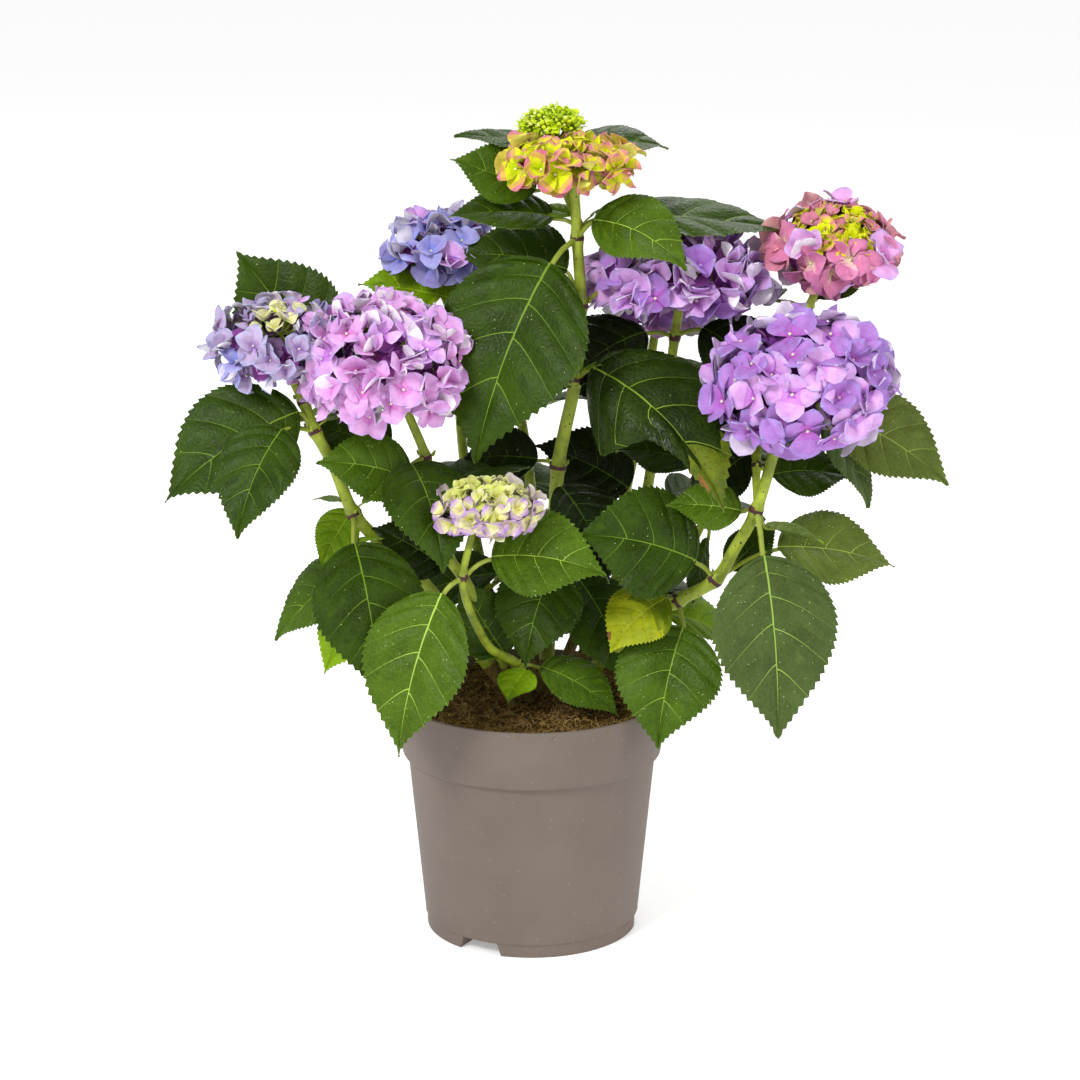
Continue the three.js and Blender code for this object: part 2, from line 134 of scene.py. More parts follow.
def prism(bearing):
    """One drain channel's cutter: a bar with sloping sides, running out from near the middle."""
    foot, top = CHANNEL_FOOT_HALF, CHANNEL_TOP_HALF
    ends = [(reach, across, z) for reach in (CHANNEL_START, RIM_RADIUS)
            for across, z in ((-foot, -1), (foot, -1), (top, FOOT_HEIGHT), (-top, FOOT_HEIGHT))]
    turn = math.radians(bearing)
    spin = np.array([[math.cos(turn), math.sin(turn), 0], [-math.sin(turn), math.cos(turn), 0], [0, 0, 1]])
    faces = [(0, 3, 2, 1), (4, 5, 6, 7), (0, 1, 5, 4), (1, 2, 6, 5), (2, 3, 7, 6), (3, 0, 4, 7)]
    mesh = bpy.data.meshes.new("channel")
    mesh.from_pydata((np.array(ends) @ spin * MM).tolist(), [], faces)
    return bpy.data.objects.new("channel", mesh)


def group(name, inputs, outputs, build):
    """A shader node group with named sockets; build(nodes, link, taken, given) wires its inside."""
    tree = bpy.data.node_groups.new(name, "ShaderNodeTree")
    for label, kind, value in inputs:
        socket = tree.interface.new_socket(name=label, in_out="INPUT", socket_type=kind)
        socket.default_value = value
    for label, kind in outputs:
        tree.interface.new_socket(name=label, in_out="OUTPUT", socket_type=kind)
    taken = tree.nodes.new("NodeGroupInput").outputs
    given = tree.nodes.new("NodeGroupOutput").inputs
    build(tree.nodes, tree.links.new, taken, given)
    return tree


def noise(nodes, link, place, scale, detail=3.0, roughness=0.55):
    made = nodes.new("ShaderNodeTexNoise")
    made.inputs["Detail"].default_value = detail
    made.inputs["Roughness"].default_value = roughness
    link(place, made.inputs["Vector"])
    if isinstance(scale, (int, float)):
        made.inputs["Scale"].default_value = scale
    else:
        link(scale, made.inputs["Scale"])
    return made


def mixed(nodes, link, factor, first, second):
    made = nodes.new("ShaderNodeMix")
    made.data_type = "RGBA"
    for value, key in ((factor, 0), (first, 6), (second, 7)):
        if isinstance(value, (int, float, tuple)):
            made.inputs[key].default_value = value
        else:
            link(value, made.inputs[key])
    return made.outputs[2]


def ranged(nodes, link, value, low, high, to_low, to_high):
    made = nodes.new("ShaderNodeMapRange")
    link(value, made.inputs["Value"])
    for key, number in (("From Min", low), ("From Max", high), ("To Min", to_low), ("To Max", to_high)):
        made.inputs[key].default_value = number
    return made.outputs["Result"]


def build_mottle(nodes, link, taken, given):
    place = nodes.new("ShaderNodeTexCoord").outputs["Object"]
    broad = noise(nodes, link, place, taken["Scale"], 4.0, 0.6)
    share = ranged(nodes, link, broad.outputs["Fac"], 0.34, 0.68, 0.0, 1.0)
    link(mixed(nodes, link, share, taken["Dark"], taken["Light"]), given["Colour"])
    link(broad.outputs["Fac"], given["Share"])


def build_specks(nodes, link, taken, given):
    place = nodes.new("ShaderNodeTexCoord").outputs["Object"]
    cells = nodes.new("ShaderNodeTexVoronoi")
    link(place, cells.inputs["Vector"])
    link(taken["Scale"], cells.inputs["Scale"])
    near = nodes.new("ShaderNodeMath")
    near.operation = "LESS_THAN"
    link(cells.outputs["Distance"], near.inputs[0])
    link(taken["Size"], near.inputs[1])
    picked = nodes.new("ShaderNodeMath")
    picked.operation = "LESS_THAN"
    split = nodes.new("ShaderNodeSeparateColor")
    link(cells.outputs["Color"], split.inputs["Color"])
    link(split.outputs["Red"], picked.inputs[0])
    link(taken["Share"], picked.inputs[1])
    both = nodes.new("ShaderNodeMath")
    both.operation = "MULTIPLY"
    link(near.outputs[0], both.inputs[0])
    link(picked.outputs[0], both.inputs[1])
    link(both.outputs[0], given["Mask"])


def build_net(nodes, link, taken, given):
    # the cells are turned out of line with the leaves, or their rows show as rings on a blade
    slant = nodes.new("ShaderNodeMapping")
    slant.inputs["Rotation"].default_value = NET_SLANT
    link(nodes.new("ShaderNodeTexCoord").outputs["Object"], slant.inputs["Vector"])
    cells = nodes.new("ShaderNodeTexVoronoi")
    cells.feature = "DISTANCE_TO_EDGE"
    link(slant.outputs["Vector"], cells.inputs["Vector"])
    link(taken["Scale"], cells.inputs["Scale"])
    link(ranged(nodes, link, cells.outputs["Distance"], 0.0, 0.09, 1.0, 0.0), given["Line"])
    link(ranged(nodes, link, cells.outputs["Distance"], 0.0, 0.34, 0.0, 1.0), given["Swell"])


mottle = group(
    "mottle",
    (("Dark", "NodeSocketColor", linear("#404040")), ("Light", "NodeSocketColor", linear("#808080")),
     ("Scale", "NodeSocketFloat", 40.0)),
    (("Colour", "NodeSocketColor"), ("Share", "NodeSocketFloat")), build_mottle)
net = group(
    "net", (("Scale", "NodeSocketFloat", 200.0),),
    (("Line", "NodeSocketFloat"), ("Swell", "NodeSocketFloat")), build_net)
specks = group(
    "specks",
    (("Scale", "NodeSocketFloat", 300.0), ("Size", "NodeSocketFloat", 0.2),
     ("Share", "NodeSocketFloat", 0.3)),
    (("Mask", "NodeSocketFloat"),), build_specks)


def placed(nodes, tree, **values):
    """A node group set into a material, with its own values."""
    made = nodes.new("ShaderNodeGroup")
    made.node_tree = tree
    for key, value in values.items():
        made.inputs[key].default_value = value
    return made


def surface(name, dark, light, scale, rough, bump_scale, bump_depth, specular=0.35, dots=None, veined=None):
    """A mottled surface with its roughness range and fine relief, and if named a net of veins or dots."""
    material = bpy.data.materials.new(name)
    material.use_nodes = True
    nodes, link = material.node_tree.nodes, material.node_tree.links.new
    shader = nodes["Principled BSDF"]
    shader.inputs["Specular IOR Level"].default_value = specular
    tones = placed(nodes, mottle, Dark=linear(dark), Light=linear(light), Scale=scale)
    colour = tones.outputs["Colour"]
    if veined:
        small_veins = placed(nodes, net, Scale=bump_scale)
        line = ranged(nodes, link, small_veins.outputs["Line"], 0.0, 1.0, 0.0, 0.07)
        colour = mixed(nodes, link, line, colour, linear(veined))
    if dots:
        shade, dot_scale, size, share = dots
        spots = placed(nodes, specks, Scale=dot_scale, Size=size, Share=share)
        colour = mixed(nodes, link, spots.outputs["Mask"], colour, linear(shade))
    link(colour, shader.inputs["Base Color"])
    link(ranged(nodes, link, tones.outputs["Share"], 0.3, 0.7, *rough), shader.inputs["Roughness"])
    place = nodes.new("ShaderNodeTexCoord").outputs["Object"]
    bump = nodes.new("ShaderNodeBump")
    bump.inputs["Strength"].default_value = 1.0
    bump.inputs["Distance"].default_value = bump_depth * MM
    if veined:
        link(small_veins.outputs["Swell"], bump.inputs["Height"])
    else:
        link(noise(nodes, link, place, bump_scale, 4.0).outputs["Fac"], bump.inputs["Height"])
    link(bump.outputs["Normal"], shader.inputs["Normal"])
    return material


pot_plastic = surface("pot_plastic", "#685c54", "#73675e", 9.0, (0.52, 0.68), 900.0, 0.12, 0.32,
                      dots=("#a39a92", 260.0, 0.1, 0.16))
pot_outline = soften(((AXIS_RADIUS, 0, 0), *POT_OUTLINE, (AXIS_RADIUS, FLOOR_HEIGHT, 0)))
points, faces, caps = turned(pot_outline, POT_TURNS)
pot_pile = Pile()
pot_pile.add(points, faces, 0)
pot_pile.faces += caps
pot_pile.slots.append(np.zeros(2))
pot = pot_pile.piece("nursery_pot", [pot_plastic], "pot", ["pot"], crease=35)
for bearing in CHANNEL_BEARINGS:
    cutter = prism(bearing)
    bpy.context.collection.objects.link(cutter)
    cut = pot.modifiers.new("channel", "BOOLEAN")
    cut.operation, cut.object, cut.solver = "DIFFERENCE", cutter, "EXACT"
    solid = bpy.data.meshes.new_from_object(pot.evaluated_get(bpy.context.evaluated_depsgraph_get()))
    pot.modifiers.clear()
    pot.data = solid
    bpy.data.objects.remove(cutter)


# ---- The compost ----------------------------------------------------------------------------
# Dark moist peat, filled to a finger below the rim. Its top is crumbly: lumps, short pale
# fibres and a few bits of bark lie on it. Dust has caught on the pot's rim and foot seam.
SOIL_RADIUS = 109.0
SOIL_EDGE = 196.0
SOIL_CROWN = 200.0
SOIL_FOOT = 150.0
SOIL_RINGS = 70
SOIL_TURNS = 200
LUMPS = 3000
FIBRES = 900
FOOT_DUST = 260
RIM_DUST = 70
TRICKLE_BEARINGS = (-96, -81, -58, -49, 20, 140, 200)


def ripple(x, y, size, seed):
    """Smooth unevenness of the ground: a few crossed waves, about one unit high."""
    turn = np.random.default_rng(seed).uniform(0, 2 * math.pi, (4, 3))
    total = 0.0
    for index, (angle, shift, other) in enumerate(turn):
        pace = 2 * math.pi / (size / 1.7 ** index)
        total = total + np.sin(pace * (x * np.cos(angle) + y * np.sin(angle)) + shift) \
            * np.cos(0.8 * pace * (y * np.cos(angle) - x * np.sin(angle)) + other) / 1.4 ** index
    return total / 2


def soil_height(x, y):
    far = np.hypot(x, y) / SOIL_RADIUS
    level = SOIL_CROWN + (SOIL_EDGE - SOIL_CROWN) * far ** 2
    return level + 1.8 * ripple(x, y, 60, 1) + 0.9 * ripple(x, y, 17, 2) + 0.5 * ripple(x, y, 6, 3)


soil_dark = surface("compost_dark", "#33240a", "#6c5124", 110.0, (0.85, 1.0), 700.0, 1.2, 0.15)
soil_brown = surface("compost_brown", "#77592a", "#9c7d46", 190.0, (0.85, 1.0), 900.0, 0.8, 0.15)
fibre_pale = surface("compost_fibre", "#86683c", "#b09562", 200.0, (0.7, 0.9), 900.0, 0.2, 0.2)
bark_chip = surface("compost_bark", "#5c4424", "#7f6238", 120.0, (0.75, 0.9), 600.0, 0.6, 0.2)

soil = Pile()
radii = np.concatenate([np.linspace(0.5, SOIL_RADIUS, SOIL_RINGS), [SOIL_RADIUS - 6]])
angles = np.arange(SOIL_TURNS) * 2 * math.pi / SOIL_TURNS
ring_x, ring_y = np.outer(radii, np.cos(angles)), np.outer(radii, np.sin(angles))
ring_z = soil_height(ring_x, ring_y)
ring_z[-1] = SOIL_FOOT
quads = ring_quads(len(radii), SOIL_TURNS)[:, [0, 3, 2, 1]]
soil.add(np.stack([ring_x, ring_y, ring_z], 2).reshape(-1, 3), quads, 0)
soil.faces += [[*range(SOIL_TURNS)], [*range(soil.total - SOIL_TURNS, soil.total)][::-1]]
soil.slots.append(np.zeros(2))

GOLD = (1 + 5 ** 0.5) / 2
LUMP_POINTS = np.array([(0, a, b * GOLD) for a in (-1, 1) for b in (-1, 1)]
                       + [(a, b * GOLD, 0) for a in (-1, 1) for b in (-1, 1)]
                       + [(b * GOLD, 0, a) for a in (-1, 1) for b in (-1, 1)]) / math.hypot(1, GOLD)


def hull_faces(cloud):
    """The twenty faces of an icosahedron, wound outwards."""
    edge = min(np.linalg.norm(cloud[0] - p) for p in cloud[1:]) * 1.01
    apart = np.linalg.norm(cloud[:, None] - cloud[None], axis=2)
    close = [[j for j in range(12) if j != i and apart[i, j] < edge] for i in range(12)]
    found = []
    for i in range(12):
        for j in close[i]:
            for k in close[i]:
                if i < j and i < k and k in close[j]:
                    turn = np.dot(np.cross(cloud[j] - cloud[i], cloud[k] - cloud[i]), cloud[i])
                    if turn > 0:
                        found.append((i, j, k))
    return np.array(found)


LUMP_FACES = hull_faces(LUMP_POINTS)


def lump(pile, centre, size, slot, flat=0.7, rough=0.28):
    """One uneven lump: a small icosahedron with its corners pushed in and out."""
    shape = LUMP_POINTS * (1 + dice.uniform(-rough, rough, (12, 1)))
    spin = np.linalg.qr(dice.normal(size=(3, 3)))[0]
    if np.linalg.det(spin) < 0:
        spin[0] *= -1
    pile.add(shape @ spin * np.array([size, size, size * flat]) + centre, LUMP_FACES, slot)


def unit(vector):
    return vector / np.linalg.norm(vector)


def tube(pile, path, radii, sides, slots):
    """A closed round tube along a path, with a flat cap at each end."""
    path = np.asarray(path, float)
    along = np.gradient(path, axis=0)
    along /= np.linalg.norm(along, axis=1, keepdims=True)
    side = np.cross(along[0], [0.31, 0.9, 0.2])
    rings = []
    turn = np.arange(sides) * 2 * math.pi / sides
    for point, ahead, radius in zip(path, along, np.broadcast_to(radii, len(path))):
        side = unit(side - ahead * np.dot(side, ahead))
        up = np.cross(ahead, side)
        rings.append(point + radius * (np.outer(np.cos(turn), side) + np.outer(np.sin(turn), up)))
    if np.ndim(slots) < 2:
        slots = np.reshape(slots, (-1, 1))
    slots = np.broadcast_to(slots, (len(path) - 1, sides)).ravel()
    start = pile.total
    pile.add(np.concatenate(rings), ring_quads(len(path), sides), slots)
    pile.faces += [[*range(start, start + sides)][::-1], [*range(pile.total - sides, pile.total)]]
    pile.slots.append(np.array([slots[0], slots[-1]]))


for _ in range(LUMPS):
    far = (SOIL_RADIUS - 2) * math.sqrt(dice.uniform())
    bearing = dice.uniform(0, 2 * math.pi)
    x, y = far * math.cos(bearing), far * math.sin(bearing)
    size = dice.choice([0.6, 0.9, 1.4, 2.4], p=[0.42, 0.34, 0.2, 0.04]) * dice.uniform(0.7, 1.3)
    kind = dice.choice([0, 1, 3], p=[0.6, 0.36, 0.04])
    lump(soil, (x, y, soil_height(x, y) + 0.3 * size), size, kind)
for _ in range(FIBRES):
    far = (SOIL_RADIUS - 8) * math.sqrt(dice.uniform())
    bearing, lie, bend = dice.uniform(0, 2 * math.pi, 3)
    length = dice.uniform(3, 16)
    along = np.linspace(-0.5, 0.5, 6) * length
    x = far * math.cos(bearing) + along * math.cos(lie) + 0.02 * along ** 2 * math.cos(bend)
    y = far * math.sin(bearing) + along * math.sin(lie) + 0.02 * along ** 2 * math.sin(bend)
    keep = np.minimum(1, (SOIL_RADIUS - 1) / np.hypot(x, y))
    height = soil_height(x * keep, y * keep) + dice.uniform(0.4, 2.4) + 1.2 * np.sin(along + bend)
    tube(soil, np.stack([x * keep, y * keep, height], 1), dice.uniform(0.16, 0.4), 3, dice.choice([1, 2]))
soil.piece("compost", [soil_dark, soil_brown, fibre_pale, bark_chip], "soil", ["soil"])

dust = Pile()
for count, reach, height, sizes in ((FOOT_DUST, 90.1, 11.4, (0.15, 0.5)),
                                    (RIM_DUST, 113.6, POT_HEIGHT, (0.2, 0.6))):
    for _ in range(count):
        bearing = dice.uniform(0, 2 * math.pi)
        place = (reach * math.cos(bearing), reach * math.sin(bearing), height)
        lump(dust, place, dice.uniform(*sizes), 0)
for bearing in TRICKLE_BEARINGS:
    turn = math.radians(bearing)
    drop = np.linspace(0, 1, 7)
    sway = turn + 0.02 * np.sin(4 * drop + bearing)
    reach = RIM_RADIUS + 0.4 - 2 * (1 - drop) ** 4 - 0.8 * drop
    height = POT_HEIGHT + 0.4 - (4 + bearing % 7) * drop
    tube(dust, np.stack([reach * np.cos(sway), reach * np.sin(sway), height], 1), 0.18, 3, 0)
dust.piece("pot_dust", [soil_brown], "soil")


# ---- The canes ------------------------------------------------------------------------------
# Soft green stems that fan out from the middle of the pot and turn up to the light. Each runs
# through swollen purple-brown joints, where its leaves sit, and is flecked with dark purple.

# the joints that bear leaves, radius at foot and tip, and the route from the soil to the flower head
CANES = {
    "centre": ((1, 2, 3, 4, 5), (6.5, 4), (
        (10, 8, 190), (18, 0, 320), (22, -4, 400), (36, -9, 475), (40, -6, 535), (37, -2, 590),
        (34, -6, 640))),
    "top_fork": ((1,), (3.4, 3), (
        (40, 2, 598), (27, 14, 628), (20, 28, 662))),
    "left": ((2, 3, 5, 6), (6, 4), (
        (-8, -6, 190), (-80, -25, 295), (-120, -35, 340), (-145, -40, 370), (-160, -44, 410),
        (-175, -45, 440), (-184, -42, 464), (-192, -42, 482))),
    "left_inner": ((2, 3, 4), (5, 3.6), (
        (-4, -10, 190), (-50, -30, 300), (-70, -35, 336), (-82, -36, 385), (-86, -33, 415),
        (-100, -34, 452))),
    "back_left": ((1, 3, 4), (5, 3.6), (
        (6, 26, 190), (4, 42, 280), (0, 54, 360), (-15, 60, 450), (-45, 62, 508), (-62, 62, 548))),
    "violet": ((2, 4, 5), (5, 3.8), (
        (26, 22, 190), (62, 32, 270), (92, 36, 350), (102, 35, 405), (112, 31, 455), (118, 28, 502),
        (121, 26, 525))),
    "right": ((2, 3, 5), (6, 4.4), (
        (20, -6, 190), (90, -34, 275), (120, -42, 296), (150, -50, 316), (166, -55, 345), (182, -60, 378),
        (197, -62, 432))),
    "right_side": ((1, 3, 4), (3.4, 3.4), (
        (183, -56, 386), (183, -35, 408), (188, -12, 445), (204, 4, 495), (225, 10, 528), (236, 10, 556))),
    "low_front": ((1, 4), (4, 3), (
        (0, -14, 190), (-12, -30, 236), (-34, -56, 260), (-50, -80, 300), (-55, -92, 331), (-47, -91, 368))),
    "right_inner": ((1,), (4.4, 3), (
        (36, 12, 190), (80, 16, 258), (124, 4, 318), (142, 0, 352), (152, 4, 384))),
    "rear_left": ((1, 2, 3), (5, 3.8), (
        (-14, 20, 190), (-38, 72, 268), (-54, 106, 345), (-62, 128, 420), (-60, 140, 478))),
    "rear_right": ((1, 3), (5, 3.8), (
        (16, 30, 190), (50, 76, 262), (76, 108, 330), (94, 130, 410), (106, 142, 484))),
}
CANE_SIDES = 14
CANE_STEP = 1.8         # length of one ring of a cane's skin
JOINT_SWELL = 0.34      # how much thicker a cane is at a joint
JOINT_REACH = 5.0       # and over what length
WOODY_HEIGHT = 232.0    # below this height a cane has begun to turn brown


def smooth_route(joints, step):
    """A smooth path through the joints, with each point's place counted in joints."""
    joints = np.array(joints, float)
    ends = np.stack([2 * joints[0] - joints[1], 2 * joints[-1] - joints[-2]])
    knots = np.concatenate([ends[:1], joints, ends[1:]])
    path, places = [joints[0]], [0.0]
    for index in range(len(joints) - 1):
        a, b, c, d = knots[index:index + 4]
        count = max(3, round(np.linalg.norm(c - b) / step))
        for share in np.arange(1, count + 1) / count:
            path.append(0.5 * (2 * b + (c - a) * share + (2 * a - 5 * b + 4 * c - d) * share ** 2
                               + (3 * b - a - 3 * c + d) * share ** 3))
            places.append(index + share)
    return np.array(path), np.array(places)


def heading(bearing, rise):
    """The unit vector at a bearing from +X towards +Y, rising from level, both in degrees."""
    bearing, rise = np.radians(bearing), np.radians(rise)
    return np.stack(np.broadcast_arrays(
        np.cos(bearing) * np.cos(rise), np.sin(bearing) * np.cos(rise), np.sin(rise)), -1)


cane_green = surface("cane_green", "#6c7a12", "#a2b232", 55.0, (0.38, 0.55), 700.0, 0.25, 0.4,
                     dots=("#33182a", 230.0, 0.17, 0.4))
cane_joint = surface("cane_joint", "#2c1418", "#59302a", 160.0, (0.45, 0.65), 900.0, 0.35, 0.35)
cane_wood = surface("cane_wood", "#5b4a22", "#7c6a35", 120.0, (0.6, 0.8), 600.0, 0.6, 0.25,
                    dots=("#2f2016", 260.0, 0.2, 0.5))
stalk_green = surface("stalk_green", "#78861f", "#98a53c", 80.0, (0.4, 0.55), 900.0, 0.15, 0.4)

canes = Pile()
for leafy, (foot, tip), joints in CANES.values():
    path, places = smooth_route(joints, CANE_STEP)
    bearing_joints = np.array([joints[joint] for joint in leafy], float)
    away = np.linalg.norm(path[:, None] - bearing_joints, axis=2).min(1)
    swell = 1 + JOINT_SWELL * np.exp(-(away / JOINT_REACH) ** 2)
    radii = (foot + (tip - foot) * places / places[-1]) * swell
    middle_height = (path[1:, 2] + path[:-1, 2]) / 2
    middle_away = (away[1:] + away[:-1]) / 2
    plain = np.where(middle_height < WOODY_HEIGHT, 2, 0)[:, None]
    around = np.arange(CANE_SIDES)[None] * 2 * math.pi / CANE_SIDES
    reach = 1.9 + 0.9 * np.sin(2 * around + foot) + 0.6 * np.sin(3 * around + len(joints))
    tones = np.where(middle_away[:, None] < reach, 1, plain)
    tube(canes, path, radii, CANE_SIDES, tones)
    for joint in leafy:
        for side in (0, 180):
            bearing = 90 * joint + side + dice.uniform(-20, 20)
            bud = np.array(joints[joint], float) + heading(bearing, 15) * (foot + 0.6)
            share = np.linspace(0, 1, 6)
            tube(canes, bud + np.outer(share, heading(bearing, 62)) * dice.uniform(4, 7),
                 1.5 * np.sin(math.pi * (0.25 + 0.72 * share)), 6, 0)
# old cut stubs among the canes at soil level
for x, y, lean in ((-14, -24, 200), (30, -18, -40), (2, 36, 100)):
    path = np.array([x, y, 192.0]) + np.outer(np.linspace(0, 1, 6), heading(lean, 70)) * 26
    tube(canes, path, [4.6, 4.4, 4.6, 4.2, 4.3, 3.9], 9, 2)
canes.piece("canes", [cane_green, cane_joint, cane_wood], "cane", ["cane_" + name for name in CANES])


# ---- The leaves -----------------------------------------------------------------------------
# Broad serrated leaves, set two or three at a joint on pale stalks. Each blade is a thin sheet
# that arches and droops, quilted between five pairs of side veins, with a pale rib beneath.

# cane, joint and leaves: (stalk length, bearing, rise), (blade bearing, rise, length, width, droop,
# roll) and look of each
FOLIAGE = {
    "leaves_top_back": ("top_fork", 1, (
        ((44, 120, 44), (172, 10, 76, 56, 12, -4), "dark"),
        ((24, 170, -4), (-176, 22, 74, 58, 4, -46), "mid"),
        ((46, 70, 45), (8, 6, 76, 56, 24, 12), "dark"))),
    "leaves_top_side": ("centre", 5, (
        ((36, -132, -26), (-140, -50, 174, 130, 26, -28), "dark"),
        ((24, -40, 44), (-26, 2, 92, 68, 50, 34), "fresh"))),
    "leaves_top_wide": ("top_fork", 0, (
        ((24, 172, 20), (-172, 12, 86, 60, 22, -24), "dark"),
        ((22, 12, 20), (4, 3, 160, 80, 20, 12), "dark"))),
    "leaves_centre_high": ("centre", 4, (
        ((34, 120, 50), (172, 20, 92, 74, 30, -44), "dark"),
        ((32, 40, 20), (30, 10, 96, 72, 40, 16), "dark"))),
    "leaves_centre_folded": ("centre", 3, (
        ((22, -43, 32), (-34, -14, 168, 112, 50, 26), "folded"),
        ((26, 140, 20), (150, 8, 110, 78, 46, -20), "dark"))),
    "leaves_centre_mid": ("centre", 2, (
        ((19, -80, -50), (-44, -33, 92, 70, 40, 10), "deep"),
        ((20, 150, 10), (174, 8, 66, 52, 22, -50), "deep"))),
    "leaves_centre_low": ("centre", 1, (
        ((24, -85, 5), (-126, -42, 92, 74, 40, -18), "dark"),
        ((26, 0, -40), (-38, -42, 104, 78, 30, 14), "dark"))),
    "leaves_left_tip": ("left", 5, (
        ((22, -158, 52), (-166, -17, 132, 96, 30, -48), "dark"),
        ((34, -138, 12), (-126, -32, 100, 72, 44, -14), "dark"))),
    "leaves_left_top": ("left", 6, (
        ((44, 76, 30), (161, 58, 114, 90, 12, -62), "dark"),
        ((34, 40, 20), (58, 14, 84, 62, 40, 0), "dark"))),
    "leaves_left_hanging": ("left", 3, (
        ((30, -86, -40), (-62, -55, 128, 96, 30, 6), "dark"),
        ((14, 100, -10), (-156, -52, 52, 42, 12, -36), "bright"))),
    "leaves_left_under": ("left", 2, (
        ((40, 144, -36), (168, -32, 98, 58, 25, -46), "mid"),
        ((46, 120, -70), (-164, -46, 82, 58, 20, -40), "bright"))),
    "leaves_inner_front": ("left_inner", 4, (
        ((22, -147, -44), (-165, 26, 80, 60, 26, -56), "mid"),
        ((18, -128, -8), (-66, -18, 104, 80, 62, 0), "dark"))),
    "leaves_inner_back": ("left_inner", 3, (
        ((50, 156, 40), (168, 26, 74, 64, 24, -46), "dark"),
        ((30, 30, 20), (40, 12, 84, 60, 40, 0), "dark"))),
    "leaves_inner_low": ("left_inner", 2, (
        ((14, -100, -60), (-174, 42, 70, 56, 22, -60), "deep"),
        ((30, 80, 10), (110, 6, 100, 72, 46, 0), "dark"))),
    "leaves_front_low": ("low_front", 4, (
        ((22, -154, -32), (-138, -57, 138, 92, 26, -22), "fresh"),
        ((28, 14, 32), (-10, 10, 96, 82, 34, 40), "fresh"))),
    "leaves_front_foot": ("low_front", 1, (
        ((16, -146, 46), (173, 54, 74, 58, -10, -60), "dark"),
        ((23, -31, 7), (-17, -12, 78, 50, 34, 28), "mid"),
        ((14, -60, 0), (-120, -16, 36, 34, 40, -8), "bright"))),
    "leaves_back_left_top": ("back_left", 4, (
        ((25, -162, 46), (-176, 18, 84, 62, 16, -46), "bright"),
        ((30, 30, 30), (40, 10, 96, 72, 40, 10), "dark"))),
    "leaves_back_left_mid": ("back_left", 3, (
        ((30, 150, 20), (160, 0, 104, 76, 46, -10), "dark"),
        ((30, 60, 20), (76, 4, 104, 76, 46, 0), "mid"))),
    "leaves_back_left_low": ("back_left", 1, (
        ((36, 170, 20), (178, -4, 104, 74, 40, -20), "dark"),
        ((30, 100, 10), (96, -6, 100, 74, 44, 0), "dark"))),
    "leaves_violet_under": ("violet", 5, (
        ((25, -14, 19), (-30, -18, 96, 74, 40, 26), "deep"),
        ((26, -166, 11), (-156, -10, 92, 72, 40, -30), "deep"))),
    "leaves_violet_mid": ("violet", 4, (
        ((30, 60, 20), (70, 6, 110, 82, 46, 0), "mid"),
        ((30, 174, 10), (-178, 24, 70, 52, 30, -50), "deep"))),
    "leaves_violet_low": ("violet", 2, (
        ((24, -168, 62), (-176, 38, 88, 68, 24, -62), "deep"),
        ((34, 40, 10), (36, 2, 112, 84, 44, 10), "dark"))),
    "leaves_right_low": ("right", 2, (
        ((24, -74, -52), (-118, -45, 104, 88, 38, -14), "mid"),
        ((13, -140, 20), (-150, -14, 68, 58, 44, -34), "yellowing"))),
    "leaves_right_mid": ("right", 3, (
        ((26, -153, 46), (-172, 28, 104, 94, 28, -62), "dark"),
        ((58, 12, 25), (4, 2, 100, 74, 26, 36), "pale_painted_sheen"),
        ((16, 40, 19), (24, 42, 58, 44, 10, 24), "dark"))),
    "leaves_right_high": ("right", 5, (
        ((42, -80, -47), (-66, -66, 150, 106, 26, 6), "dim_painted_sheen"),
        ((14, 150, -10), (-176, 14, 62, 44, 18, -50), "fresh"),
        ((22, 54, -50), (-14, -6, 50, 34, 14, -34), "bright"))),
    "leaves_side_low": ("right_side", 1, (
        ((14, 120, 40), (-168, -30, 66, 54, 28, -44), "deep"),
        ((20, 40, -30), (10, 10, 70, 54, 30, 40), "dark"))),
    "leaves_side_tips": ("right_side", 3, (
        ((70, 2, -50), (-9, -17, 112, 76, 28, 44), "pale_painted_sheen"),
        ((66, -16, -58), (-12, -46, 84, 54, 30, 22), "dim_painted_sheen"))),
    "leaves_side_top": ("right_side", 4, (
        ((26, 70, 10), (40, 40, 62, 48, 14, 30), "dark"),
        ((30, 140, 10), (130, 6, 84, 62, 40, 0), "dark"))),
    "leaves_right_tuft": ("right_inner", 4, (
        ((20, 30, 40), (24, 24, 76, 56, 30, 20), "mid"),
        ((22, 160, 40), (166, 20, 70, 52, 30, -30), "dark"),
        ((46, -120, -74), (-121, -58, 60, 40, 20, 40), "mid"))),
    "leaves_right_under": ("right_inner", 1, (
        ((40, 70, 20), (64, 4, 106, 78, 46, 0), "dark"),
        ((30, 10, 14), (14, -8, 84, 62, 40, 20), "bright"))),
    "leaves_rear_left_low": ("rear_left", 1, (
        ((36, 170, 10), (166, -4, 118, 86, 48, -12), "dark"),
        ((36, 70, 10), (66, -4, 118, 86, 48, 0), "mid"))),
    "leaves_rear_left_mid": ("rear_left", 2, (
        ((36, 120, 14), (124, 4, 124, 92, 52, 0), "dark"),
        ((34, 8, 14), (20, 4, 104, 78, 46, 10), "mid"))),
    "leaves_rear_left_top": ("rear_left", 3, (
        ((34, 176, 16), (172, 8, 112, 82, 50, -14), "mid"),
        ((34, 80, 16), (80, 6, 120, 88, 50, 0), "dark"))),
    "leaves_rear_right_low": ("rear_right", 1, (
        ((36, 20, 10), (26, -4, 120, 88, 48, 8), "dark"),
        ((36, 110, 10), (112, -4, 112, 82, 48, 0), "mid"))),
    "leaves_rear_right_top": ("rear_right", 3, (
        ((34, 60, 16), (60, 6, 120, 88, 50, 0), "mid"),
        ((34, 140, 14), (150, 4, 100, 76, 46, 0), "dark"))),
}
